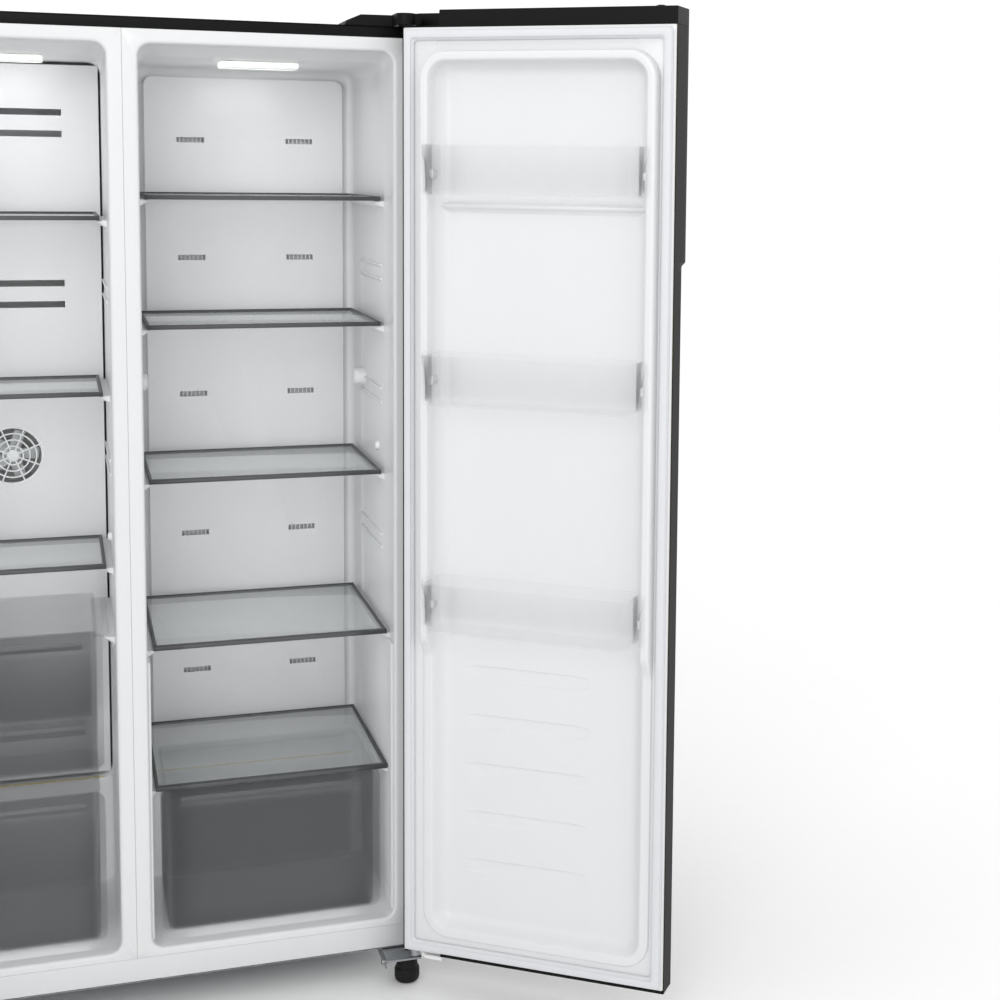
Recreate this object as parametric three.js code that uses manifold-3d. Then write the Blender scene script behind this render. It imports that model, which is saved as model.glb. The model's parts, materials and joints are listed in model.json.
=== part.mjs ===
// Side by side refrigerator: freezer on the left, fresh food on the right.
// Millimetres, +X to the right, -Y is the front, +Z up, floor at Z = 0.
// Both doors stand open, as they do when the refrigerator is loaded.
import * as THREE from 'three';
import { mergeVertices } from 'three/addons/utils/BufferGeometryUtils.js';
import Module from 'manifold-3d';

const wasm = await Module();
wasm.setup();

// Cabinet
const WIDTH = 910;
const HALF = WIDTH / 2;
const CAB_BOTTOM = 60;
const CAB_TOP = 1760;
const CAB_DEPTH = 560;
const SHEET = 1.2;
const GAP = 0.3;
const SIDE_WALL = 38;
const MULLION = [-76, -24];
const OPEN_BOTTOM = 117.6;
const OPEN_TOP = 1716;
const OPEN_RADIUS = 22;
const LINER = 2;
const BACK_WALL = 433;
const CEILING_BACK = 1700;
const STEP_FRONT = 318;
const STEP_BACK = 352;
const STEP_TOP = 322;
const TOP_TRIM = 19.5;
const RAIL_HEIGHT = 43.6;
const BACK_PANEL = 0.8;

// Fresh food shelves: height of the glass and how far back the front edge is
const FRIDGE_SHELVES = [
  { z: 1457, front: 93 },
  { z: 1226, front: 93 },
  { z: 948, front: 93 },
  { z: 658, front: 38 },
];
const CRISPER_COVER_Z = 400;
const CRISPER_FRONT = 38;
const SHELF_BACK = 410;
const SHELF_SIDE_GAP = 12;
const GLASS = 4;
const EDGE_HEIGHT = 7;
const LEDGE = 18;

// Freezer shelves and drawers
const FREEZER_SHELVES = [1420, 1110, 800];
const FREEZER_SHELF_FRONT = 92;
const FREEZER_SHELF_BACK = 350;
const UPPER_DRAWER = [440, 690];
const LOWER_DRAWER = [124, 396];

// Doors
const DOOR_THICK = 70;
const DOOR_GAP = 12;
const DOOR_BOTTOM = 73;
const DOOR_TOP = 1785;
const LINER_BOTTOM = 79;
const LINER_TOP = 1755;
const FRIDGE_DOOR = 502;
const FREEZER_DOOR = 402;
const PIVOT_IN = 12;
const PIVOT_FORWARD = 25;
const DOOR_OPEN = 143;
const HINGE_POCKET = 70;
const HINGE_POCKET_TOP = 1757;
const HINGE_LIP = 9;
const LOW_NOTCH = 74;
const DYKE = 25;
const DYKE_HINGE = 41;
const DYKE_FREE = 28;
const DYKE_WIDTH = 19;
const DYKE_LOW = 4;
const DYKE_END = 640;
const DYKE_BOTTOM = 113;
const DYKE_TOP = 1714;
const PANEL_DEPTH = 20;
const BIN_FRONT = 72;
const BIN_HEIGHT = 88;
const BIN_WALL = 2.4;
const BINS = [1464, 1101, 698];
const GRIP_TOP = 1356;
const GRIP_DEPTH = 28;
const GRIP_WIDTH = 30;
const GRIP_CHAMFER = 12;

// Hinges, feet and rollers
const PIN = 4.5;
const PIN_HOLE = 4.6;
const FOOT_X = 432;
const FOOT_Y = -14;
const FOOT_RADIUS = 23;
const ROLLER_X = 395;
const ROLLER_Y = 500;
const ROLLER_RADIUS = 22;
const AXLE = 4;
const AXLE_HOLE = 4.1;

const deg = THREE.MathUtils.degToRad;

// ---------- solids ----------

function solid(geometry) {
  const plain = new THREE.BufferGeometry();
  plain.setAttribute('position', geometry.getAttribute('position').clone());
  if (geometry.index) {
    plain.setIndex(geometry.index.clone());
  }
  const welded = mergeVertices(plain, 1e-4);
  const vertProperties = new Float32Array(welded.getAttribute('position').array);
  const triVerts = new Uint32Array(welded.index.array);
  return new wasm.Manifold(new wasm.Mesh({ numProp: 3, vertProperties, triVerts }));
}

function box(x, y, z) {
  const [x0, x1] = [Math.min(...x), Math.max(...x)];
  const geometry = new THREE.BoxGeometry(x1 - x0, y[1] - y[0], z[1] - z[0]);
  geometry.translate((x0 + x1) / 2, (y[0] + y[1]) / 2, (z[0] + z[1]) / 2);
  return solid(geometry);
}

function outline(points) {
  return new THREE.Shape(points.map(([a, b]) => new THREE.Vector2(a, b)));
}

function extrude(shape, depth, segments = 6) {
  return new THREE.ExtrudeGeometry(shape, { depth, bevelEnabled: false, curveSegments: segments });
}

// A shape drawn in X and Z, pushed along Y
function prismY(shape, y, segments) {
  const geometry = extrude(shape, y[1] - y[0], segments);
  geometry.rotateX(Math.PI / 2);
  geometry.translate(0, y[1], 0);
  return solid(geometry);
}

// A shape drawn in Y and Z, pushed along X
function prismX(points, x) {
  const [x0, x1] = [Math.min(...x), Math.max(...x)];
  const geometry = extrude(outline(points), x1 - x0);
  geometry.rotateX(Math.PI / 2);
  geometry.rotateZ(Math.PI / 2);
  geometry.translate(x0, 0, 0);
  return solid(geometry);
}

// A shape drawn in X and Y, pushed along Z
function prismZ(points, z) {
  const geometry = extrude(outline(points), z[1] - z[0]);
  geometry.translate(0, 0, z[0]);
  return solid(geometry);
}

function roundRect(a, b, radius) {
  const [a0, a1] = [Math.min(...a), Math.max(...a)];
  const [b0, b1] = b;
  const shape = new THREE.Shape();
  shape.moveTo(a0 + radius, b0);
  shape.lineTo(a1 - radius, b0);
  shape.absarc(a1 - radius, b0 + radius, radius, -Math.PI / 2, 0);
  shape.lineTo(a1, b1 - radius);
  shape.absarc(a1 - radius, b1 - radius, radius, 0, Math.PI / 2);
  shape.lineTo(a0 + radius, b1);
  shape.absarc(a0 + radius, b1 - radius, radius, Math.PI / 2, Math.PI);
  shape.lineTo(a0, b0 + radius);
  shape.absarc(a0 + radius, b0 + radius, radius, Math.PI, Math.PI * 1.5);
  return shape;
}

function cylinder(axis, radius, centre, from, to, segments = 24) {
  const geometry = new THREE.CylinderGeometry(radius, radius, to - from, segments);
  if (axis === 'z') {
    geometry.rotateX(Math.PI / 2);
    geometry.translate(centre[0], centre[1], (from + to) / 2);
  } else if (axis === 'x') {
    geometry.rotateZ(Math.PI / 2);
    geometry.translate((from + to) / 2, centre[0], centre[1]);
  } else {
    geometry.translate(centre[0], (from + to) / 2, centre[1]);
  }
  return solid(geometry);
}

// A turned form: profile of [radius, height] from the axis back to the axis
function turned(profile, centre, segments = 24) {
  const points = profile.map(([r, h]) => new THREE.Vector2(r, h));
  const geometry = new THREE.LatheGeometry(points, segments);
  geometry.rotateX(Math.PI / 2);
  geometry.translate(centre[0], centre[1], centre[2]);
  return solid(geometry);
}

function join(...solids) {
  return solids.reduce((sum, item) => sum.add(item));
}

function cut(body, ...tools) {
  return tools.reduce((rest, tool) => rest.subtract(tool), body);
}

// ---------- materials ----------

const FINISH = {
  liner: [0xf0f1f2, 0.38, 0],
  foam: [0xe9dfb0, 0.95, 0],
  blackSteel: [0x17181a, 0.35, 0.5],
  blackPlastic: [0x19191b, 0.42, 0],
  whitePlastic: [0xe9eaeb, 0.45, 0],
  whiteSteel: [0xe6e7e8, 0.4, 0.2],
  clear: [0xdde6ea, 0.08, 0],
  glass: [0xc9d6d6, 0.05, 0],
  gasket: [0xdcdddf, 0.7, 0],
  zinc: [0x9b9da0, 0.35, 0.9],
  galvanised: [0xa9adb0, 0.45, 0.8],
  aluminium: [0xc4c8cb, 0.35, 0.9],
  copper: [0xb06a42, 0.35, 0.9],
  rubber: [0x161616, 0.8, 0],
};

function part(name, body, finish) {
  const mesh = body.getMesh();
  const geometry = new THREE.BufferGeometry();
  geometry.setAttribute('position', new THREE.BufferAttribute(new Float32Array(mesh.vertProperties), 3));
  geometry.setIndex(new THREE.BufferAttribute(new Uint32Array(mesh.triVerts), 1));
  geometry.computeVertexNormals();
  const [color, roughness, metalness] = FINISH[finish];
  const material = new THREE.MeshStandardMaterial({ color, roughness, metalness });
  if (finish === 'clear' || finish === 'glass') {
    material.transparent = true;
    material.opacity = 0.4;
  }
  const item = new THREE.Mesh(geometry, material);
  item.name = name;
  return item;
}

// ---------- cabinet ----------

const root = new THREE.Group();
root.name = 'side_by_side_refrigerator';
const cabinet = new THREE.Group();
cabinet.name = 'cabinet';
root.add(cabinet);

const FRIDGE_X = [MULLION[1], HALF - SIDE_WALL];
const FREEZER_X = [-HALF + SIDE_WALL, MULLION[0]];
const MACHINE_FRONT = STEP_BACK + 36;
const MACHINE_TOP = STEP_TOP - 36;

// The cavity of one compartment, grown outwards by a margin on every closed side
function cavity(x, margin, front) {
  const side = [
    [front, OPEN_BOTTOM - margin],
    [STEP_FRONT + 0.85 * margin, OPEN_BOTTOM - margin],
    [STEP_BACK + 0.85 * margin, STEP_TOP - margin],
    [BACK_WALL + margin, STEP_TOP - margin],
    [BACK_WALL + margin, CEILING_BACK + margin],
    [90, CEILING_BACK + margin],
    [40, OPEN_TOP + margin],
    [front, OPEN_TOP + margin],
  ];
  const wide = [x[0] - margin, x[1] + margin];
  const tall = [OPEN_BOTTOM - margin, OPEN_TOP + margin];
  const body = prismX(side, wide);
  return body.intersect(prismY(roundRect(wide, tall, OPEN_RADIUS + margin), [front, BACK_WALL + margin]));
}

// Moulded ledges on both side walls, each under a shelf
function ledges(x, heights, back, front = 70) {
  const list = [];
  for (const z of heights) {
    for (const [wall, sign] of [[x[0], 1], [x[1], -1]]) {
      const across = [wall - sign * 0.5, wall + sign * LEDGE];
      list.push(box(across, [front, back], [z - 9, z]));
    }
  }
  return list;
}

// One compartment: a formed tub with a flange that forms its part of the front face
function tub(x, flange, ledgeSolids) {
  const shell = cut(cavity(x, LINER, LINER + GAP), cavity(x, 0, -1));
  const z = [CAB_BOTTOM + RAIL_HEIGHT + GAP, CAB_TOP - TOP_TRIM - GAP];
  const face = cut(box(flange, [0, LINER + GAP + 0.5], z), cavity(x, 0, -5));
  return join(shell, face, ...ledgeSolids);
}

const fridgeLedges = FRIDGE_SHELVES.map((shelf) => shelf.z - EDGE_HEIGHT - GAP);
const fridgeLiner = tub(
  FRIDGE_X,
  [(MULLION[0] + MULLION[1]) / 2 + GAP / 2, HALF - SHEET - GAP],
  [
    ...ledges(FRIDGE_X, fridgeLedges, SHELF_BACK),
    ...ledges(FRIDGE_X, [CRISPER_COVER_Z - EDGE_HEIGHT - GAP], 300, 60),
  ],
);
cabinet.add(part('fridge_liner', fridgeLiner, 'liner'));

const freezerLedges = FREEZER_SHELVES.map((z) => z - EDGE_HEIGHT - GAP);
const freezerLiner = tub(
  FREEZER_X,
  [-HALF + SHEET + GAP, (MULLION[0] + MULLION[1]) / 2 - GAP / 2],
  [
    ...ledges(FREEZER_X, freezerLedges, FREEZER_SHELF_BACK),
    ...ledges(FREEZER_X, [UPPER_DRAWER[1] - 14], FREEZER_SHELF_BACK, 60),
  ],
);
cabinet.add(part('freezer_liner', freezerLiner, 'liner'));

// Steel wrapper: left side, top and right side in one bent sheet
const wrapper = cut(
  box([-HALF, HALF], [0, CAB_DEPTH - BACK_PANEL - GAP], [CAB_BOTTOM, CAB_TOP]),
  box([-HALF + SHEET, HALF - SHEET], [-1, CAB_DEPTH + 1], [CAB_BOTTOM - 1, CAB_TOP - SHEET]),
);
cabinet.add(part('outer_wrapper', wrapper, 'blackSteel'));

// Black strip over the doors' opening and white rail under it
const trimBottom = CAB_TOP - TOP_TRIM;
const inner = [-HALF + SHEET + GAP, HALF - SHEET - GAP];
cabinet.add(part(
  'top_front_trim',
  box(inner, [0, 12], [trimBottom, CAB_TOP - SHEET - GAP]),
  'blackPlastic',
));
cabinet.add(part(
  'bottom_front_rail',
  box(inner, [0, 12], [CAB_BOTTOM + 2 * GAP + SHEET, CAB_BOTTOM + RAIL_HEIGHT]),
  'whiteSteel',
));

// Base: floor sheet with two ears for each rear roller
function rollerEars(sign) {
  const ears = [];
  for (const offset of [-17, 14]) {
    const x = [sign * ROLLER_X + offset, sign * ROLLER_X + offset + 3];
    const profile = [
      [ROLLER_Y - 26, CAB_BOTTOM + 0.6],
      [ROLLER_Y - 10, ROLLER_RADIUS - 9],
      [ROLLER_Y + 10, ROLLER_RADIUS - 9],
      [ROLLER_Y + 26, CAB_BOTTOM + 0.6],
    ];
    ears.push(prismX(profile, x));
  }
  const hole = cylinder('x', AXLE_HOLE, [ROLLER_Y, ROLLER_RADIUS],
    sign * ROLLER_X - 30, sign * ROLLER_X + 30, 32);
  return cut(join(...ears), hole);
}
const baseSheet = box(inner, [0, CAB_DEPTH - BACK_PANEL - GAP], [CAB_BOTTOM, CAB_BOTTOM + SHEET]);
const airSlots = [];
for (let i = 0; i < 8; i += 1) {
  const x = -210 + i * 60;
  airSlots.push(box([x - 20, x + 20], [400, 412], [CAB_BOTTOM - 5, CAB_BOTTOM + 5]));
}
const base = cut(join(baseSheet, rollerEars(-1).add(rollerEars(1))), ...airSlots);
// The pins of the lower hinges and the feet pass under the base, so it stays whole in front.
cabinet.add(part('base_plate', base, 'galvanised'));

// Rigid foam around both tubs, with the machine space left free at the lower back
const foamBlock = box(
  [-HALF + SHEET + GAP, HALF - SHEET - GAP],
  [12 + GAP, CAB_DEPTH - BACK_PANEL - 2 * GAP],
  [CAB_BOTTOM + SHEET + GAP, CAB_TOP - SHEET - GAP],
);
const machineSpace = box([-500, 500], [MACHINE_FRONT, 700], [0, MACHINE_TOP]);
const foam = cut(foamBlock, cavity(FRIDGE_X, LINER + GAP, -1), cavity(FREEZER_X, LINER + GAP, -1),
  machineSpace);
cabinet.add(part('cabinet_foam', foam, 'foam'));

// Back panel over the foam, and a slotted cover over the machine space
const panelY = [CAB_DEPTH - BACK_PANEL, CAB_DEPTH];
cabinet.add(part('back_panel', box([-HALF, HALF], panelY, [MACHINE_TOP + 5, CAB_TOP]), 'galvanised'));
const coverSlots = [];
for (let i = 0; i < 7; i += 1) {
  for (const z of [110, 150, 190]) {
    const x = -300 + i * 100;
    coverSlots.push(box([x - 34, x + 34], [CAB_DEPTH - 10, CAB_DEPTH + 10], [z, z + 9]));
  }
}
const inletX = -380;
const inletZ = 120;
coverSlots.push(box([inletX - 18, inletX + 18], [CAB_DEPTH - 10, CAB_DEPTH + 10],
  [inletZ - 15, inletZ + 15]));
const machineCover = box([-HALF, HALF], panelY, [CAB_BOTTOM, MACHINE_TOP + 5 - GAP]);
cabinet.add(part('machine_cover', cut(machineCover, ...coverSlots), 'galvanised'));

// Mains inlet: a socket body with a recess for the appliance connector
const inletBody = join(
  box([inletX - 17.6, inletX + 17.6], [CAB_DEPTH - 26, CAB_DEPTH + 0.2], [inletZ - 14.6, inletZ + 14.6]),
  box([inletX - 22, inletX + 22], [CAB_DEPTH + 0.2, CAB_DEPTH + 3], [inletZ - 19, inletZ + 19]),
);
const inletRecess = box([inletX - 12, inletX + 12], [CAB_DEPTH - 16, CAB_DEPTH + 9], [inletZ - 8, inletZ + 8]);
cabinet.add(part('mains_inlet', cut(inletBody, inletRecess), 'blackPlastic'));

// ---------- machine space ----------

const deckZ = CAB_BOTTOM + SHEET + GAP;
const compressor = join(
  turned([[0, 8], [58, 8], [70, 30], [74, 60], [74, 96], [66, 130], [40, 150], [0, 154]],
    [250, 474, deckZ], 28),
  box([170, 330], [424, 524], [deckZ, deckZ + 10]),
  cylinder('z', 6, [250, 474], deckZ + 150, deckZ + 172, 12),
);
cabinet.add(part('compressor', compressor, 'blackSteel'));

// Condenser: a flat serpentine of tube between two side plates
const condenserRows = [];
const runs = 5;
for (let i = 0; i < runs; i += 1) {
  const z = deckZ + 14 + i * 25;
  condenserRows.push(cylinder('x', 4, [470, z], -268, 68, 8));
  if (i < runs - 1) {
    const end = i % 2 === 0 ? 64 : -264;
    condenserRows.push(box([end - 3.5, end + 3.5], [467, 473], [z, z + 25]));
  }
}
for (let i = 0; i < 4; i += 1) {
  const x = -240 + i * 93;
  condenserRows.push(box([x - 0.8, x + 0.8], [440, 500], [deckZ, deckZ + 126]));
}
cabinet.add(part('condenser', join(...condenserRows), 'copper'));

// Drain pan hung over the condenser, where the warm air dries it
const pan = cut(
  box([-300, 100], [420, 530], [222, 252]),
  box([-297, 97], [423, 527], [225, 260]),
);
const panHangers = [-240, 40].map((x) => box([x - 8, x + 8], [420, 423], [250, MACHINE_TOP - GAP]));
cabinet.add(part('drain_pan', join(pan, ...panHangers), 'blackPlastic'));

// ---------- cold air ----------

// Fresh food air duct: a raised column down the back wall with outlets at each shelf
const ductX = [FRIDGE_X[0] + 29, FRIDGE_X[1] - 29];
const ductY = [BACK_WALL - 16, BACK_WALL - GAP];
const ductZ = [STEP_TOP + 14, 1681];
const fridgeDuct = prismY(roundRect(ductX, ductZ, 16), ductY, 4);
const ductCuts = [
  box([ductX[0] + 8, ductX[1] - 8], [BACK_WALL - 12, BACK_WALL + 5], [ductZ[0] + 8, ductZ[1] - 8]),
];
const ductMiddle = (ductX[0] + ductX[1]) / 2;
for (const z of [1560, 1330, 1060, 780, 500]) {
  for (const side of [-1, 1]) {
    const x = ductMiddle + side * 105;
    ductCuts.push(box([x - 26, x + 26], [BACK_WALL - 30, BACK_WALL - 5], [z - 5, z + 5]));
  }
}
cabinet.add(part('fridge_air_duct', cut(fridgeDuct, ...ductCuts), 'liner'));

// Freezer evaporator cover, with a fan window, outlets above it and a return slot below
const coverX = [FREEZER_X[0] + 4, FREEZER_X[1] - 4];
const coverY = [358, BACK_WALL - GAP];
const freezerCover = box(coverX, coverY, [STEP_TOP + 6, CEILING_BACK - 6]);
const coverInside = box([coverX[0] + 3, coverX[1] - 3], [coverY[0] + 3, BACK_WALL + 5],
  [STEP_TOP + 9, CEILING_BACK - 9]);
const freezerMiddle = (FREEZER_X[0] + FREEZER_X[1]) / 2;
const freezerCuts = [coverInside];
freezerCuts.push(cylinder('y', 52, [freezerMiddle, 960], coverY[0] - 5, coverY[0] + 8, 32));
for (const z of [1600, 1560, 1280, 1240]) {
  freezerCuts.push(box([freezerMiddle - 100, freezerMiddle + 100], [350, 364], [z, z + 12]));
}
for (const z of [404, 424]) {
  freezerCuts.push(box([freezerMiddle - 120, freezerMiddle + 120], [350, 364], [z, z + 12]));
}
cabinet.add(part('freezer_air_cover', cut(freezerCover, ...freezerCuts), 'liner'));

// Evaporator: six tube runs through a stack of upright fins
const evaporator = [];
for (let i = 0; i < 6; i += 1) {
  const z = 510 + i * 56;
  evaporator.push(cylinder('x', 5, [400, z], freezerMiddle - 135, freezerMiddle + 135, 8));
  if (i < 5) {
    const end = freezerMiddle + (i % 2 === 0 ? 131 : -131);
    evaporator.push(box([end - 3.5, end + 3.5], [397, 403], [z, z + 56]));
  }
}
for (let i = 0; i < 9; i += 1) {
  const x = freezerMiddle - 112 + i * 28;
  evaporator.push(box([x - 0.6, x + 0.6], [374, 424], [480, 820]));
}
cabinet.add(part('evaporator', join(...evaporator), 'aluminium'));

// Evaporator fan: hub and blades on a shaft along Y
const blades = [cylinder('y', 15, [0, 0], -9, 9, 20)];
for (let i = 0; i < 5; i += 1) {
  const blade = new THREE.BoxGeometry(34, 2, 24);
  blade.rotateX(deg(32));
  blade.translate(30, 0, 0);
  blade.rotateY(i * deg(72));
  blades.push(solid(blade));
}
const fan = part('evaporator_fan', join(...blades), 'whitePlastic');
fan.position.set(freezerMiddle, 382, 960);
cabinet.add(fan);

// Lamp covers in both ceilings
for (const [name, x] of [['fridge_lamp_cover', FRIDGE_X], ['freezer_lamp_cover', FREEZER_X]]) {
  const middle = (x[0] + x[1]) / 2;
  const body = box([middle - 70, middle + 70], [150, 210], [CEILING_BACK - 12, CEILING_BACK - GAP]);
  cabinet.add(part(name, body, 'clear'));
}

// ---------- shelves and drawers ----------

// A pane with a raised trim along its front and back edges
function shelf(name, x, front, back, z, finish) {
  const across = [x[0] + SHELF_SIDE_GAP, x[1] - SHELF_SIDE_GAP];
  const body = join(
    box(across, [front, back], [z - GLASS, z]),
    box(across, [front - 4, front + 12], [z - EDGE_HEIGHT, z + 1]),
    box(across, [back - 12, back], [z - EDGE_HEIGHT, z + 8]),
  );
  return part(name, body, finish);
}
FRIDGE_SHELVES.forEach((item, index) => {
  cabinet.add(shelf(`fridge_shelf_${index + 1}`, FRIDGE_X, item.front, SHELF_BACK, item.z, 'glass'));
});
cabinet.add(shelf('crisper_cover', FRIDGE_X, CRISPER_FRONT, SHELF_BACK, CRISPER_COVER_Z, 'glass'));
FREEZER_SHELVES.forEach((z, index) => {
  cabinet.add(shelf(`freezer_shelf_${index + 1}`, FREEZER_X, FREEZER_SHELF_FRONT,
    FREEZER_SHELF_BACK, z, 'glass'));
});

// An open drawer with a grip rail along the top of its front
function drawer(x, y, z, gap, rimGap) {
  const across = [x[0] + gap, x[1] - gap];
  const walls = cut(
    box([across[0] + 8, across[1] - 8], y, z),
    box([across[0] + 11, across[1] - 11], [y[0] + 3.5, y[1] - 3], [z[0] + 3, z[1] + 5]),
  );
  const frontFace = box(across, [y[0] - 4, y[0] + 3.5], [z[0], z[1]]);
  const grip = box([across[0] + 30, across[1] - 30], [y[0] - 20, y[0] - 3], [z[1] - rimGap, z[1] - rimGap + 4]);
  const lip = box([across[0] + 30, across[1] - 30], [y[0] - 20, y[0] - 17], [z[1] - rimGap - 12, z[1] - rimGap + 4]);
  return join(walls, frontFace, grip, lip);
}
const crisper = drawer(FRIDGE_X, [62, 296], [OPEN_BOTTOM + 4, CRISPER_COVER_Z - 12], 22, 22);
cabinet.add(part('crisper_drawer', crisper, 'clear'));
const upper = drawer(FREEZER_X, [60, 345], UPPER_DRAWER, 22, 14);
const upperRims = [
  box([FREEZER_X[0] + 8, FREEZER_X[0] + 32], [70, 345], [UPPER_DRAWER[1] - 13.5, UPPER_DRAWER[1] - 10]),
  box([FREEZER_X[1] - 32, FREEZER_X[1] - 8], [70, 345], [UPPER_DRAWER[1] - 13.5, UPPER_DRAWER[1] - 10]),
];
cabinet.add(part('freezer_upper_drawer', join(upper, ...upperRims), 'clear'));
const lower = drawer(FREEZER_X, [60, 296], LOWER_DRAWER, 22, 14);
cabinet.add(part('freezer_lower_drawer', lower, 'clear'));

// ---------- hinges, feet and rollers ----------

const pivotX = HALF - PIVOT_IN;
const pivotY = -DOOR_GAP - PIVOT_FORWARD;

for (const [side, sign] of [['fridge', 1], ['freezer', -1]]) {
  const x = (value) => sign * value;
  // Top hinge: a plate screwed to the cabinet, its arm and the pin that drops into the door
  const plate = prismZ([
    [x(400), 8], [x(450), 8], [x(450), pivotY - 6], [x(pivotX), pivotY - 10],
    [x(pivotX - 12), pivotY - 6], [x(pivotX - 22), -1],
  ], [CAB_TOP + GAP, CAB_TOP + 4]);
  const rear = box([x(340), x(450)], [7, 78], [CAB_TOP + GAP, CAB_TOP + 4]);
  const topPin = cylinder('z', PIN, [x(pivotX), pivotY], CAB_TOP - 22, CAB_TOP + 3, 32);
  cabinet.add(part(`${side}_top_hinge`, join(plate, rear, topPin), 'zinc'));

  // Cover over the top hinge, rising from a bevelled inner end
  const coverProfile = [
    [x(326), CAB_TOP + GAP], [x(452), CAB_TOP + GAP], [x(452), CAB_TOP + 20],
    [x(354), CAB_TOP + 19], [x(329), CAB_TOP + 8],
  ];
  const coverShell = prismY(outline(coverProfile), [-2, 88]);
  const nose = join(
    box([x(pivotX - 34), x(452)], [pivotY - 12, 0], [CAB_TOP + GAP, CAB_TOP + 20]),
    cylinder('z', 17, [x(pivotX - 17), pivotY - 4], CAB_TOP + GAP, CAB_TOP + 20, 20),
  );
  const room = join(
    box([x(336), x(450.6)], [2, 82], [CAB_TOP - 1, CAB_TOP + 6]),
    box([x(pivotX - 31), x(450.6)], [pivotY - 11.5, 4], [CAB_TOP - 1, CAB_TOP + 6]),
    box([x(452.2), x(470)], [-80, 100], [CAB_TOP, CAB_TOP + 30]),
  );
  cabinet.add(part(`${side}_hinge_cover`, cut(join(coverShell, nose), room), 'blackPlastic'));

  // Bottom hinge: a bent plate under the cabinet with the pin that carries the door
  const bracket = join(
    box([x(388), x(452)], [-52, 70], [CAB_BOTTOM - 5, CAB_BOTTOM - 1.5]),
    box([x(388), x(391)], [-34, 70], [CAB_BOTTOM - 24, CAB_BOTTOM - 1.5]),
    cylinder('z', PIN, [x(pivotX), pivotY], CAB_BOTTOM - 4, CAB_BOTTOM + 34, 32),
    cylinder('z', 10, [x(pivotX), pivotY], CAB_BOTTOM - 4, CAB_BOTTOM + 12.6, 24),
    cylinder('x', 4, [-24, CAB_BOTTOM - 15], Math.min(x(385), x(389)), Math.max(x(385), x(389)), 12),
  );
  const footHole = cylinder('z', 5.1, [x(FOOT_X - 0), FOOT_Y], 0, CAB_BOTTOM + 10, 32);
  cabinet.add(part(`${side}_bottom_hinge`, cut(bracket, footHole), 'zinc'));

  // Levelling foot: a broad black pad on a stud that stands in the bracket
  const foot = turned([
    [0, 0], [FOOT_RADIUS - 6, 0], [FOOT_RADIUS, 6], [FOOT_RADIUS, 25], [FOOT_RADIUS - 3, 34],
    [FOOT_RADIUS - 5, 44], [8, 46], [5, 46], [5, 58], [0, 58],
  ], [0, 0, 0], 32);
  const footPart = part(`${side}_foot`, foot, 'blackPlastic');
  footPart.position.set(x(FOOT_X), FOOT_Y, 0);
  cabinet.add(footPart);

  // Rear roller with its axle
  const roller = join(
    cylinder('x', ROLLER_RADIUS, [0, 0], -11, 11, 32),
    cylinder('x', AXLE, [0, 0], -20, 20, 32),
  );
  const rollerPart = part(`${side}_rear_roller`, roller, 'blackPlastic');
  rollerPart.position.set(x(ROLLER_X), ROLLER_Y, ROLLER_RADIUS);
  cabinet.add(rollerPart);
}

// ---------- doors ----------

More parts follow.
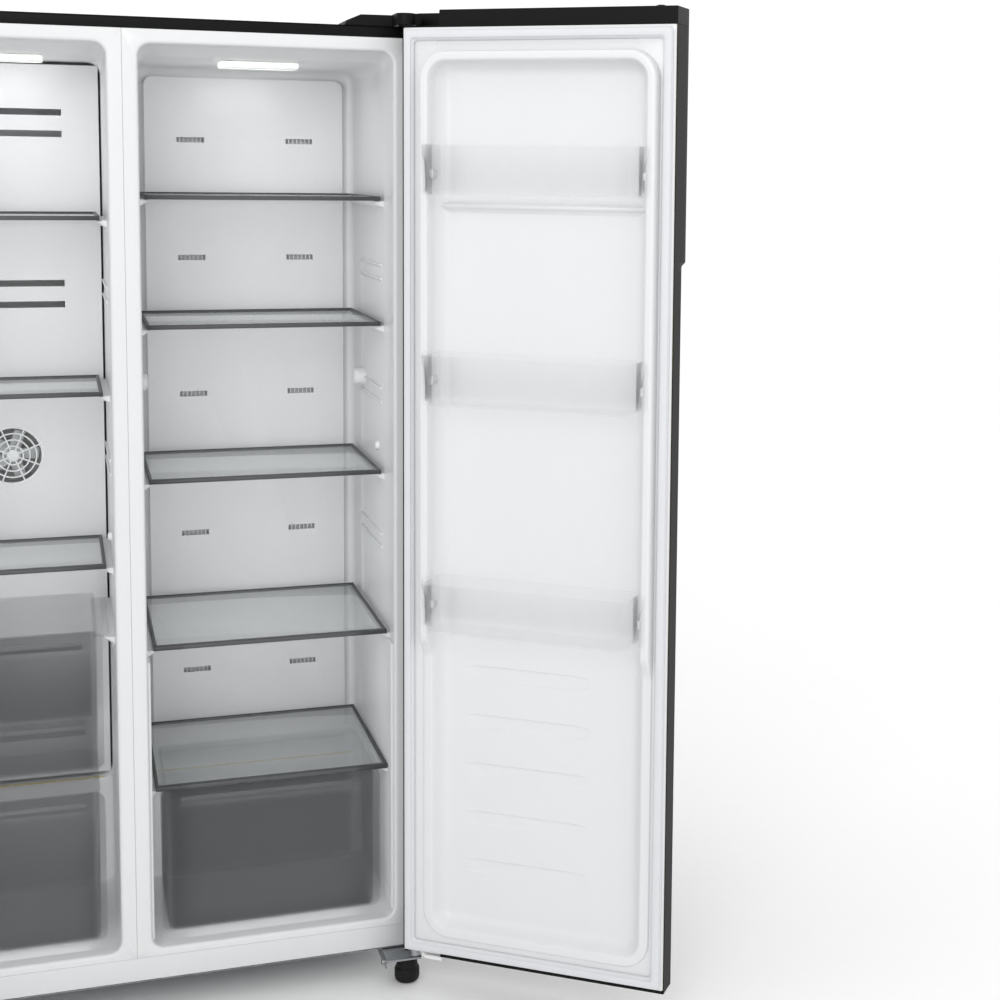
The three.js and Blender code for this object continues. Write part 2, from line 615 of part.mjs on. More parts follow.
// A door is drawn shut. u runs from its hinge side to its free side, v from its
// sealing plane towards the cabinet, and the group turns about the hinge pins.
function door(side, sign, width) {
  const group = new THREE.Group();
  group.name = `${side}_door`;
  const ux = (u) => -sign * (u - PIVOT_IN);
  const vy = (v) => v + PIVOT_FORWARD;
  const span = (u) => [ux(u[0]), ux(u[1])];
  const depth = (v) => [vy(v[0]), vy(v[1])];
  const block = (u, v, z) => box(span(u), depth(v), z);
  const ring = (u, z, radius, v, segments = 5) => prismY(roundRect(span(u), z, radius), depth(v), segments);
  const front = -DOOR_THICK;

  // Grip: a scoop along the free edge, from the bottom up to a bevelled end
  const scoopPoints = [
    [ux(width - GRIP_WIDTH), vy(front - 1)],
    [ux(width - GRIP_WIDTH + 3), vy(front + 12)],
    [ux(width - 12), vy(front + GRIP_DEPTH - 3)],
    [ux(width + 1), vy(front + GRIP_DEPTH)],
    [ux(width + 1), vy(front - 1)],
  ];
  const scoop = prismZ(scoopPoints, [0, GRIP_TOP - GRIP_CHAMFER]);
  const scoopEnd = prismX([
    [vy(front - 1), GRIP_TOP - GRIP_CHAMFER - 1],
    [vy(front + GRIP_DEPTH), GRIP_TOP - GRIP_CHAMFER - 1],
    [vy(front + GRIP_DEPTH - 12), GRIP_TOP - 1],
    [vy(front - 1), GRIP_TOP],
  ], [ux(width - GRIP_WIDTH + 6), ux(width + 1)]);
  const grip = join(scoop, scoopEnd);
  const gripBack = prismZ([
    [ux(width - GRIP_WIDTH - 1.2), vy(front - 1)],
    [ux(width - GRIP_WIDTH + 1.6), vy(front + 13.2)],
    [ux(width - 12.4), vy(front + GRIP_DEPTH - 1.8)],
    [ux(width + 1), vy(front + GRIP_DEPTH + 1.2)],
    [ux(width + 1), vy(front - 1)],
  ], [0, GRIP_TOP - GRIP_CHAMFER]);
  const gripBackEnd = prismX([
    [vy(front - 1), GRIP_TOP - GRIP_CHAMFER - 1],
    [vy(front + GRIP_DEPTH + 1.2), GRIP_TOP - GRIP_CHAMFER - 1],
    [vy(front + GRIP_DEPTH - 10.8), GRIP_TOP + 0.2],
    [vy(front - 1), GRIP_TOP + 1.2],
  ], [ux(width - GRIP_WIDTH + 4.8), ux(width + 1)]);
  const gripSkin = join(gripBack, gripBackEnd);

  // Front skin: one sheet bent back along both sides and into the grip
  const skinZ = [LINER_BOTTOM, LINER_TOP];
  const outer = cut(block([0, width], [front, -GAP], skinZ), grip);
  const hollow = cut(block([SHEET, width - SHEET], [front + SHEET, 1], [0, 2000]), gripSkin);
  group.add(part(`${side}_door_skin`, cut(outer, hollow), 'blackSteel'));

  // Liner: flange, raised dykes that hold the bins, and the sunk panel between them
  const in0 = [DYKE_HINGE, width - DYKE_FREE];
  const in1 = [in0[0] + DYKE_WIDTH, in0[1] - DYKE_WIDTH];
  const outZ = [DYKE_BOTTOM, DYKE_TOP];
  const inZ = [DYKE_BOTTOM + DYKE_WIDTH, DYKE_TOP - DYKE_WIDTH];
  const lowFlange = block([2, width - 2], [-2, 0], [LINER_BOTTOM + 0.4, LINER_TOP - 0.4]);
  const bead = ring(in0, outZ, 40, [-0.5, DYKE_LOW]);
  const tall = cut(
    ring(in0, outZ, 40, [-0.5, DYKE]),
    prismX([
      [vy(DYKE + 1), DYKE_END + 40], [vy(DYKE_LOW - 0.01), DYKE_END], [vy(DYKE_LOW - 0.01), 0],
      [vy(DYKE + 1), 0],
    ], [ux(-5), ux(width + 5)]),
  );
  const tray = ring([in1[0] - 2, in1[1] + 2], [inZ[0] - 2, inZ[1] + 2], 26, [-PANEL_DEPTH - 2, 0]);
  const sunk = ring(in1, inZ, 24, [-PANEL_DEPTH, DYKE + 5]);
  const channelTall = cut(
    cut(ring([in0[0] + 2, in0[1] - 2], [outZ[0] + 2, outZ[1] - 2], 38, [-3, DYKE - 2]),
      ring([in1[0] - 2, in1[1] + 2], [inZ[0] - 2, inZ[1] + 2], 26, [-5, DYKE + 5])),
    block([-5, width + 5], [-5, DYKE + 5], [0, DYKE_END + 44]),
  );
  const shelfLedge = block([in1[0] - 1, in1[1] + 1], [-PANEL_DEPTH - 1, -PANEL_DEPTH + 7],
    [BINS[0] - 22, BINS[0] - 14]);
  const ribs = [];
  for (let i = 0; i < 5; i += 1) {
    const z = 586 - i * 88;
    ribs.push(block([in1[0] + 60, in1[1] - 85], [-PANEL_DEPTH - 1, -PANEL_DEPTH + 1.5], [z + 12, z + 28]));
  }
  const lugs = [];
  for (const z of BINS) {
    for (const [u0, u1] of [[in1[0] - 1, in1[0] + 6], [in1[1] - 6, in1[1] + 1]]) {
      lugs.push(block([u0, u1], [-6, 14], [z + 34, z + 46]));
    }
  }
  const liner = join(cut(join(lowFlange, bead, tall, tray), sunk, channelTall), shelfLedge, ...ribs, ...lugs);
  group.add(part(`${side}_door_liner`, liner, 'liner'));

  // Foam between skin and liner
  const foamBody = cut(
    block([SHEET + GAP, width - SHEET - GAP], [front + SHEET + GAP, -2 - GAP],
      [LINER_BOTTOM + GAP, LINER_TOP - GAP]),
    gripSkin,
    ring([in1[0] - 2.3, in1[1] + 2.3], [inZ[0] - 2.3, inZ[1] + 2.3], 26, [-PANEL_DEPTH - 2.3, 0]),
    block([0, 40], [front, 0], [LINER_TOP - 22, LINER_TOP + 10]),
    block([0, 40], [front, 0], [0, LINER_BOTTOM + 24]),
    prismZ(scoopPoints.map(([a, b]) => [a - Math.sign(ux(width)) * 1.6, b + 1.6]), [0, GRIP_TOP]),
  );
  group.add(part(`${side}_door_foam`, foamBody, 'foam'));

  // Caps: the top one is cut low over the hinge, and both carry the bushings
  const topHole = cylinder('z', PIN_HOLE, [0, 0], LINER_TOP - 40, LINER_TOP + 40, 32);
  const topCap = cut(
    join(
      block([0, width], [front, -GAP], [LINER_TOP + GAP, DOOR_TOP]),
      block([SHEET + GAP, 38], [front + SHEET + GAP, -2 - GAP], [LINER_TOP - 20, LINER_TOP + 1]),
      block([width - 48, width - 30], [-40, -22], [DOOR_TOP - 1, DOOR_TOP + 4]),
    ),
    block([-1, HINGE_POCKET], [front + HINGE_LIP, 1], [HINGE_POCKET_TOP, DOOR_TOP + 1]),
    topHole,
  );
  group.add(part(`${side}_door_top_cap`, topCap, 'blackPlastic'));
  const bottomHole = cylinder('z', PIN_HOLE, [0, 0], 0, LINER_BOTTOM + 40, 32);
  const bottomCap = cut(
    join(
      block([0, width], [front, -GAP], [DOOR_BOTTOM, LINER_BOTTOM - GAP]),
      block([SHEET + GAP, 38], [front + SHEET + GAP, -2 - GAP], [LINER_BOTTOM - 1, LINER_BOTTOM + 22]),
    ),
    block([-1, LOW_NOTCH], [-14, 1], [DOOR_BOTTOM - 1, LINER_BOTTOM + 1]),
    bottomHole,
    grip,
  );
  group.add(part(`${side}_door_bottom_cap`, bottomCap, 'blackPlastic'));

  // Door closer: a white stop screwed under the bottom cap
  const stop = join(
    block([42, 76], [-30, -1], [DOOR_BOTTOM - 7, DOOR_BOTTOM - GAP]),
    block([34, 44], [-26, -8], [DOOR_BOTTOM - 8, DOOR_BOTTOM - GAP]),
  );
  group.add(part(`${side}_door_stop`, stop, 'whitePlastic'));

  // Magnetic gasket: a soft hollow frame, drawn as its outer form
  const sealOuter = ring([6, width - 6], [LINER_BOTTOM + 5, LINER_TOP - 5], 5, [GAP, DOOR_GAP - 0.6], 2);
  const sealInner = ring([24, width - 24], [LINER_BOTTOM + 23, LINER_TOP - 23], 5, [-5, 30], 2);
  group.add(part(`${side}_door_gasket`, cut(sealOuter, sealInner), 'gasket'));

  // Bins: each hooks over its lugs, with a front that is narrower than its back
  const taper = 14;
  BINS.forEach((z, index) => {
    const b0 = in1[0] + 0.6;
    const b1 = in1[1] - 0.6;
    const back = -PANEL_DEPTH + 8;
    const plan = (inset, drop) => [
      [ux(b0 + inset), vy(back + inset)],
      [ux(b1 - inset), vy(back + inset)],
      [ux(b1 - inset), vy(30)],
      [ux(b1 - taper - inset), vy(BIN_FRONT - inset)],
      [ux(b0 + taper + inset), vy(BIN_FRONT - inset)],
      [ux(b0 + inset), vy(30)],
    ].map(([a, b]) => [a, b - drop]);
    const shell = cut(
      prismZ(plan(0, 0), [z, z + BIN_HEIGHT]),
      prismZ(plan(BIN_WALL, 0), [z + 3, z + BIN_HEIGHT + 5]),
      block([b0 - 2, b0 + 7], [-7, 15], [z - 1, z + 46.5]),
      block([b1 - 7, b1 + 2], [-7, 15], [z - 1, z + 46.5]),
    );
    const pocket = [
      block([b0, b0 + 9.4], [-9.4, 17.4], [z, z + 48.9]),
      block([b1 - 9.4, b1], [-9.4, 17.4], [z, z + 48.9]),
    ];
    const pocketRoom = [
      block([b0 - 2, b0 + 7], [-7, 15], [z - 1, z + 46.5]),
      block([b1 - 7, b1 + 2], [-7, 15], [z - 1, z + 46.5]),
    ];
    const body = cut(join(shell, ...pocket), ...pocketRoom);
    group.add(part(`${side}_door_bin_${index + 1}`, body, 'clear'));
  });

  group.position.set(sign * pivotX, pivotY, 0);
  group.rotation.z = sign * deg(DOOR_OPEN);
  return group;
}
root.add(door('fridge', 1, FRIDGE_DOOR));
root.add(door('freezer', -1, FREEZER_DOOR));

// Stand the whole refrigerator so that the middle of its footprint is the origin
root.updateMatrixWorld(true);
const bounds = new THREE.Box3().setFromObject(root, true);
root.position.x = -(bounds.min.x + bounds.max.x) / 2;
root.position.y = -(bounds.min.y + bounds.max.y) / 2;

export default root;
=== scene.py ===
"""Side by side refrigerator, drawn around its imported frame. Laid out as an add-on and run as a script."""

import json
from math import cos, pi, radians, sin, tan

import bmesh
import bpy
from bpy.props import FloatProperty, FloatVectorProperty, IntProperty, PointerProperty
from mathutils import Matrix, Vector


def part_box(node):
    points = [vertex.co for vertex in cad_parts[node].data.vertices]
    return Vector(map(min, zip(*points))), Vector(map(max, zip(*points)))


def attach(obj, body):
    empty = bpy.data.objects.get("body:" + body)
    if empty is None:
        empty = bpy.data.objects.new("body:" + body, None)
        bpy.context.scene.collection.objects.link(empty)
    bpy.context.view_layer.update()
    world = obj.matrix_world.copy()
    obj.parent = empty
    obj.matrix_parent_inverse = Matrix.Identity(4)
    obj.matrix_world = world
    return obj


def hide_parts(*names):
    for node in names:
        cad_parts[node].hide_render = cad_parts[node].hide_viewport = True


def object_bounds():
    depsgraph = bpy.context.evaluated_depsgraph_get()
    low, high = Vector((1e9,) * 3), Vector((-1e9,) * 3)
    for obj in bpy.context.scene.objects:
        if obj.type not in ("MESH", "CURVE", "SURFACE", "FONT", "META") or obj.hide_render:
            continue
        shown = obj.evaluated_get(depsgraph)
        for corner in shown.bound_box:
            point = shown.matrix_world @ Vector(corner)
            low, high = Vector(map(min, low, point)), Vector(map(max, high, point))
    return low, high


bl_info = {
    "name": "Side by side refrigerator",
    "version": (1, 0, 0),
    "blender": (4, 5, 0),
    "location": "3D View > Sidebar > Fridge",
    "description": "Draws a side by side refrigerator with open doors around its frame",
    "category": "Object",
}

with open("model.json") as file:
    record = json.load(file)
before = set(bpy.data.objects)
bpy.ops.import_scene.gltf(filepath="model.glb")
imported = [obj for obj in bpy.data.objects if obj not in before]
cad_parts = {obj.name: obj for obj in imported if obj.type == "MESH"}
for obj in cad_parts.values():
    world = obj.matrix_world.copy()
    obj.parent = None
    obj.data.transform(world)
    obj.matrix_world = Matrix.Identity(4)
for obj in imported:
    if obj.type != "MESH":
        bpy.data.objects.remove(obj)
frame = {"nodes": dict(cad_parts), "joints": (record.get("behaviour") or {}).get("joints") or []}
CAD_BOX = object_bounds()
NODES = frame["nodes"]
MM = 0.001
SIDES = {"fridge": 1, "freezer": -1}
PIVOT_IN = 12        # hinge pin, from the door's hinge side
PIVOT_FORWARD = 25   # hinge pin, in front of the door's sealing plane
SHEET = 1.2          # steel of the wrapper and the door fronts
TUB_WALL = 1.9       # formed sheet of a compartment
DOOR_WALL = 2.3      # formed sheet of a door's inside
TUB_BACK_ROUND = 14  # between a compartment's walls and its back
LEDGE_REACH = 18     # how far a shelf's ledge stands out of the wall
LEDGE_HEIGHT = 9
GLASS_TOP = 7        # top of the glass, over the underside of a shelf's edge
GLASS = 4            # thickness of the shelf glass
POCKET_FLOOR = 1757  # floor of the hinge pocket in a door's top cap
CAP_FROM = 1676.3    # the top cap's lower edge, over the door front's
CLEAR_FALLOFF = 0.22 # how soon a clear wall turns solid as it is seen along its edge


# ---------- places: millimetres in a group's own axes, turned to the row frame ----------

class Place:
    """The axes that a group of pieces is drawn in, and what the frame says in them."""

    def __init__(self, matrix):
        self.matrix = matrix
        self.inverse = matrix.inverted()

    def span(self, node):
        points = [self.inverse @ v.co for v in NODES[node].data.vertices]
        low = Vector(min(p[i] for p in points) for i in range(3))
        high = Vector(max(p[i] for p in points) for i in range(3))
        return low, high


def cabinet_place():
    low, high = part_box("outer_wrapper")
    middle = Vector(((low.x + high.x) / 2, low.y, CAD_BOX[0].z))
    return Place(Matrix.Translation(middle) @ Matrix.Scale(MM, 4))


def door_place(side):
    """u from the hinge side, v from the sealing plane into the cabinet, z up."""
    joint = next(j for j in frame["joints"] if j["child"] == side + "_door")
    sign = SIDES[side]
    pivot = Vector(joint["pos_m"])
    pivot.z = CAD_BOX[0].z
    turn = Matrix.Rotation(sign * radians(max(abs(a) for a in joint["range_deg"])), 4, "Z")
    axes = Matrix(((-sign * MM, 0, 0, sign * PIVOT_IN * MM),
                   (0, MM, 0, PIVOT_FORWARD * MM),
                   (0, 0, MM, 0),
                   (0, 0, 0, 1)))
    return Place(Matrix.Translation(pivot) @ turn @ axes)


CABINET = cabinet_place()
DOORS = {side: door_place(side) for side in SIDES}
ROW = Place(Matrix.Identity(4))


# ---------- shapes ----------

def rounded(a0, a1, b0, b1, radius, steps=5):
    """Outline of a rectangle with rounded corners."""
    corners = ((a1 - radius, b0 + radius, -90), (a1 - radius, b1 - radius, 0),
               (a0 + radius, b1 - radius, 90), (a0 + radius, b0 + radius, 180))
    points = []
    for a, b, start in corners:
        for i in range(steps + 1):
            angle = radians(start + 90 * i / steps)
            points.append((a + radius * cos(angle), b + radius * sin(angle)))
    return points


def fillet(points, radius, closed=False, steps=4):
    """The same line with its corners rounded."""
    out = []
    count = len(points)
    for i, point in enumerate(points):
        if not closed and i in (0, count - 1):
            out.append(tuple(point))
            continue
        before, here, after = Vector(points[i - 1]), Vector(point), Vector(points[(i + 1) % count])
        to_a, to_b = before - here, after - here
        reach = min(radius / max(tan(to_a.angle(to_b) / 2), 0.05), 0.49 * to_a.length, 0.49 * to_b.length)
        start, end = here + to_a.normalized() * reach, here + to_b.normalized() * reach
        for k in range(steps + 1):
            t = k / steps
            out.append(tuple(start * (1 - t) ** 2 + here * 2 * t * (1 - t) + end * t * t))
    return out


def shifted(points, distance, closed=True):
    """The same line moved sideways by a distance, to its left."""
    out = []
    count = len(points)
    for i, point in enumerate(points):
        here = Vector(point)
        before = Vector(points[i - 1 if closed or i else 0])
        after = Vector(points[(i + 1) % count if closed or i < count - 1 else i])
        a, b = (here - before), (after - here)
        a = a.normalized() if a.length > 1e-9 else b.normalized()
        b = b.normalized() if b.length > 1e-9 else a
        normal = Vector((-a.y - b.y, a.x + b.x))
        share = max(normal.length_squared / 2, 0.4)
        out.append(tuple(here + normal * distance / share))
    return out


def between(line, x):
    """Height of a line of (x, height) points at x."""
    for (x0, h0), (x1, h1) in zip(line, line[1:]):
        if x0 <= x <= x1:
            return h0 if x1 == x0 else h0 + (h1 - h0) * (x - x0) / (x1 - x0)
    return line[0][1] if x < line[0][0] else line[-1][1]


def smooth_step(t):
    t = min(1.0, max(0.0, t))
    return t * t * (3 - 2 * t)


def loft(bm, rings, start=True, end=True, loop=False):
    """Faces from each ring of points to the next, with the ends filled or joined."""
    rows = [[bm.verts.new(p) for p in ring] for ring in rings]
    pairs = list(zip(rows, rows[1:])) + ([(rows[-1], rows[0])] if loop else [])
    count = len(rows[0])
    for a, b in pairs:
        for i in range(count):
            j = (i + 1) % count
            bm.faces.new((a[i], a[j], b[j], b[i]))
    if start and not loop:
        bm.faces.new(rows[0][::-1])
    if end and not loop:
        bm.faces.new(rows[-1])


def prism(bm, outline, axis, low, high, bevel=0.0, steps=2):
    """An outline pushed along an axis, with its edges rounded."""
    part = bmesh.new()
    spots = {"x": lambda a, b, t: (t, a, b), "y": lambda a, b, t: (a, t, b), "z": lambda a, b, t: (a, b, t)}
    spot = spots[axis]
    loft(part, [[spot(a, b, t) for a, b in outline] for t in (low, high)])
    bmesh.ops.recalc_face_normals(part, faces=part.faces)
    if bevel:
        soften(part, bevel, steps)
    add_mesh(bm, part)


def block(bm, low, high, bevel, steps=2):
    """A box with rounded edges, between two corners."""
    prism(bm, [(low[0], low[1]), (high[0], low[1]), (high[0], high[1]), (low[0], high[1])],
          "z", low[2], high[2], bevel, steps)


def soften(bm, width, steps=2, limit=25):
    """Rounds every edge that is sharper than the limit."""
    edges = [e for e in bm.edges if len(e.link_faces) == 2 and e.calc_face_angle(0) > radians(limit)]
    bmesh.ops.bevel(bm, geom=edges, offset=width, offset_type="OFFSET", segments=steps, profile=0.5,
                    affect="EDGES", clamp_overlap=True)


def add_mesh(bm, part):
    """Puts one bmesh into another and frees it."""
    mesh = bpy.data.meshes.new("part")
    part.to_mesh(mesh)
    part.free()
    bm.from_mesh(mesh)
    bpy.data.meshes.remove(mesh)


def turned(bm, profile, spot, steps=32):
    """A form turned about an axis. spot places (across, across, along)."""
    rings = []
    for radius, along in profile:
        rings.append([spot(radius * cos(2 * pi * i / steps), radius * sin(2 * pi * i / steps), along)
                      for i in range(steps)])
    loft(bm, rings)


def copy_of(node, place):
    """A CAD node's shape as one welded mesh in a place's millimetres."""
    bm = bmesh.new()
    bm.from_mesh(NODES[node].data)
    bm.transform(place.inverse)
    bmesh.ops.remove_doubles(bm, verts=bm.verts, dist=0.01)
    bmesh.ops.dissolve_limit(bm, angle_limit=radians(1), verts=bm.verts, edges=bm.edges)
    return bm


def make(name, bm, place, body, finish, stands_for=(), smooth=38):
    """Turns a drawing into a finished piece that rides on its body."""
    if not bm.faces:
        raise RuntimeError(f"{name} has no faces")
    bm.transform(place.matrix)
    bmesh.ops.remove_doubles(bm, verts=bm.verts, dist=1e-6)
    bmesh.ops.recalc_face_normals(bm, faces=bm.faces)
    mesh = bpy.data.meshes.new(name)
    bm.to_mesh(mesh)
    bm.free()
    mesh.polygons.foreach_set("use_smooth", [True] * len(mesh.polygons))
    mesh.set_sharp_from_angle(angle=radians(smooth))
    mesh.materials.append(finish)
    obj = bpy.data.objects.new(name, mesh)
    bpy.context.scene.collection.objects.link(obj)
    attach(obj, body)
    if stands_for:
        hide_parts(*stands_for)
    return obj


# ---------- materials ----------

def srgb(text):
    """A hex colour as linear red, green and blue."""
    values = [int(text[i:i + 2], 16) / 255 for i in (1, 3, 5)]
    return tuple(v / 12.92 if v <= 0.04045 else ((v + 0.055) / 1.055) ** 2.4 for v in values)


def add(tree, kind, inputs=None, **settings):
    """A node with its settings, values and links."""
    node = tree.nodes.new(kind)
    for key, value in settings.items():
        setattr(node, key, value)
    for key, value in (inputs or {}).items():
        socket = node.inputs[key]
        for item in value if isinstance(value, list) else [value]:
            if isinstance(item, bpy.types.NodeSocket):
                tree.links.new(item, socket)
            else:
                socket.default_value = item
    return node


def shade(name, colour, other, drift, grain, bump, rough, rough_more, stretch=(1, 1, 1),
          cells=False, depth=0.0003, body=None, **sockets):
    """A surface whose colour drifts between two tones over drift millimetres, and whose
    roughness and relief follow a grain of a real size in millimetres. body is how much of a
    clear wall shows, face on and edge on."""
    if name in bpy.data.materials:
        return bpy.data.materials[name]
    material = bpy.data.materials.new(name)
    material.use_nodes = True
    tree = material.node_tree
    tree.nodes.clear()
    place = add(tree, "ShaderNodeTexCoord")
    spread = add(tree, "ShaderNodeMapping", {"Vector": place.outputs["Object"], "Scale": stretch})
    wide = add(tree, "ShaderNodeTexNoise", {"Vector": place.outputs["Object"], "Scale": 1 / (drift * MM),
                                            "Detail": 3.0, "Roughness": 0.55})
    if cells:
        fine = add(tree, "ShaderNodeTexVoronoi", {"Vector": spread.outputs[0], "Scale": 1 / (grain * MM),
                                                  "Randomness": 1.0})
        grey = add(tree, "ShaderNodeSeparateColor", {"Color": fine.outputs["Color"]}).outputs[0]
    else:
        fine = add(tree, "ShaderNodeTexNoise", {"Vector": spread.outputs[0], "Scale": 1 / (grain * MM),
                                                "Detail": 2.0, "Roughness": 0.5})
        grey = fine.outputs["Fac"]
    tone = add(tree, "ShaderNodeMath", {0: wide.outputs["Fac"], 1: grey}, operation="MULTIPLY_ADD")
    tone.inputs[2].default_value = 0.25
    ramp = add(tree, "ShaderNodeValToRGB", {"Fac": tone.outputs[0]})
    ramp.color_ramp.elements[0].position = 0.3
    ramp.color_ramp.elements[0].color = (*colour, 1)
    ramp.color_ramp.elements[1].position = 0.75
    ramp.color_ramp.elements[1].color = (*other, 1)
    rougher = add(tree, "ShaderNodeMapRange", {"Value": grey, "From Min": 0.3, "From Max": 0.7,
                                               "To Min": rough, "To Max": rough + rough_more})
    relief = add(tree, "ShaderNodeBump", {"Height": grey, "Strength": bump, "Distance": depth})
    surface = add(tree, "ShaderNodeBsdfPrincipled", {
        "Base Color": ramp.outputs["Color"], "Roughness": rougher.outputs[0],
        "Normal": relief.outputs["Normal"], **sockets})
    if body:
        edge_on = add(tree, "ShaderNodeLayerWeight", {"Blend": CLEAR_FALLOFF})
        solid = add(tree, "ShaderNodeMapRange", {"Value": edge_on.outputs["Facing"], "To Min": body[0],
                                                 "To Max": body[1]})
        tree.links.new(solid.outputs[0], surface.inputs["Alpha"])
    add(tree, "ShaderNodeOutputMaterial", {"Surface": surface.outputs[0]})
    return material


def tone(colour, change):
    """The same colour, lighter or darker."""
    return tuple(min(1.0, max(0.0, c * change)) for c in colour)


def finishes():
    """Every finish of the refrigerator by a short name."""
    c = bpy.context.scene.fridge_colours
    liner, steel, black, trim = c.liner[:], c.steel[:], c.black_plastic[:], c.shelf_trim[:]
    metal, seal, white = c.zinc[:], c.gasket[:], c.white_plastic[:]
    return {
        # Vacuum formed polystyrene sheet: soft gloss, a faint orange peel from the stretched sheet
        "liner": shade("formed_polystyrene", liner, tone(liner, 0.975), 260, 5, 0.10, 0.30, 0.08,
                       depth=0.0002, IOR=1.59),
        # Coil coated steel: black lacquer, even gloss, a very fine levelled texture
        "steel": shade("coated_black_steel", steel, tone(steel, 1.3), 300, 2.2, 0.16, 0.34, 0.10,
                       depth=0.0001, IOR=1.5, **{"Specular IOR Level": 0.05}),
        # Painted white steel strip: flat and even, slightly less glossy than the liner
        "white_steel": shade("painted_white_steel", tone(liner, 0.97), tone(liner, 0.93), 200, 3, 0.08,
                             0.36, 0.08, depth=0.0001, IOR=1.5),
        # Moulded black ABS: a satin spark eroded grain that dulls the highlights
        "black": shade("moulded_black_abs", black, tone(black, 1.4), 120, 1.6, 0.35, 0.40, 0.16,
                       depth=0.00012, IOR=1.53, **{"Specular IOR Level": 0.12}),
        # Moulded grey ABS of the shelf edges: satin, with a slow drift in tone
        "trim": shade("moulded_grey_abs", trim, tone(trim, 1.2), 90, 1.8, 0.25, 0.34, 0.14,
                      depth=0.0001, IOR=1.53, **{"Specular IOR Level": 0.35}),
        # Moulded white polypropylene: waxy, low gloss
        "white": shade("moulded_polypropylene", white, tone(white, 0.96), 60, 2, 0.2, 0.42, 0.12,
                       depth=0.0001, IOR=1.49, **{"Subsurface Weight": 0.05}),
        # Soft vinyl gasket: matt, faintly uneven, catches a broad sheen on its folds
        "gasket": shade("soft_vinyl", seal, tone(seal, 0.95), 80, 2.5, 0.25, 0.5, 0.15,
                        depth=0.00015, IOR=1.53, **{"Sheen Weight": 0.1}),
        # Zinc plated steel: bright grey with soft rolling marks along the sheet
        "zinc": shade("zinc_plated_steel", metal, tone(metal, 0.8), 40, 1.2, 0.25, 0.28, 0.16,
                      stretch=(1, 6, 6), depth=0.00008, Metallic=1.0),
        # Hot dip galvanised sheet: spangles about a centimetre across that shift in tone
        "galvanised": shade("galvanised_sheet", tone(metal, 1.1), tone(metal, 0.72), 180, 11, 0.06,
                            0.34, 0.14, cells=True, depth=0.00005, Metallic=1.0),
        # Aluminium fins: pale, thin and slightly wavy
        "aluminium": shade("aluminium_fin", srgb("#c9cdd0"), srgb("#a9aeb2"), 60, 3, 0.2, 0.25, 0.12,
                           depth=0.00015, Metallic=1.0),
        # Lacquered copper tube: warm, darker where it was bent and brazed
        "copper": shade("copper_tube", srgb("#b87850"), srgb("#7d4a2c"), 30, 2, 0.2, 0.26, 0.18,
                        depth=0.0001, Metallic=1.0),
        # Nickelled brass contact pins: pale yellow metal with fine turning marks
        "brass": shade("nickelled_brass", srgb("#c8b98a"), srgb("#a8986a"), 8, 0.4, 0.2, 0.22, 0.12,
                       stretch=(1, 8, 1), depth=0.00003, Metallic=1.0),
        # Black enamel of the compressor shell: thick, glossy and a little wavy
        "enamel": shade("black_enamel", srgb("#141416"), srgb("#26262a"), 40, 6, 0.2, 0.18, 0.14,
                        depth=0.0003, IOR=1.5, **{"Coat Weight": 0.5, "Coat Roughness": 0.1}),
        # Rigid polyurethane foam: cream, matt, with cells of about a millimetre drawn coarser
        "foam": shade("polyurethane_foam", srgb("#e6dbac"), srgb("#cdbf86"), 50, 3, 0.9, 0.85, 0.1,
                      cells=True, depth=0.001, IOR=1.4),
        # Dark nylon of feet, rollers and the drain pan: matt with a moulded grain
        "nylon": shade("moulded_nylon", srgb("#0e0e10"), srgb("#1a1a1c"), 30, 1.5, 0.4, 0.44, 0.2,
                       depth=0.00015, IOR=1.53, **{"Specular IOR Level": 0.2}),
        # Crystal polystyrene: nearly invisible face on, cool grey where a wall is seen along its edge
        "clear": shade("crystal_polystyrene", c.clear[:], tone(c.clear[:], 0.96), 90, 30, 0.05, 0.03,
                       0.03, depth=0.0002, body=(0.012, 0.3), IOR=1.59, **{"Specular IOR Level": 0.9}),
        # Toughened glass: a green grey tint that deepens in the edge, mirror bright at a low angle
        "glass": shade("toughened_glass", c.glass[:], tone(c.glass[:], 0.96), 300, 60, 0.02, 0.02,
                       0.02, depth=0.0001, body=(0.10, 0.6), IOR=1.52, **{"Specular IOR Level": 0.9}),
        # Frosted polycarbonate of the lamp covers: milky with a prismatic grain
        "frosted": shade("frosted_polycarbonate", srgb("#f2f3f0"), srgb("#e2e4e2"), 40, 3, 0.4, 0.35,
                         0.15, cells=True, depth=0.0004, IOR=1.58, **{"Transmission Weight": 0.6}),
    }


# ---------- Geometry Nodes ----------

def tree_with(name, inputs):
    """An empty Geometry Nodes tree with its named inputs, and their outlets."""
    tree = bpy.data.node_groups.new(name, "GeometryNodeTree")
    for label, kind in (("Geometry", "Geometry"), *inputs, ("Finish", "Material")):
        tree.interface.new_socket(label, in_out="INPUT", socket_type="NodeSocket" + kind)
    tree.interface.new_socket("Geometry", in_out="OUTPUT", socket_type="NodeSocketGeometry")
    return tree, add(tree, "NodeGroupInput").outputs


def made_real(tree, instances, given):
    """Ends a tree: its instances made real, in their finish."""
    real = add(tree, "GeometryNodeRealizeInstances", {"Geometry": instances.outputs[0]})
    done = add(tree, "GeometryNodeSetMaterial", {"Geometry": real.outputs[0], "Material": given["Finish"]})
    add(tree, "NodeGroupOutput", {0: done.outputs[0]})
    return tree


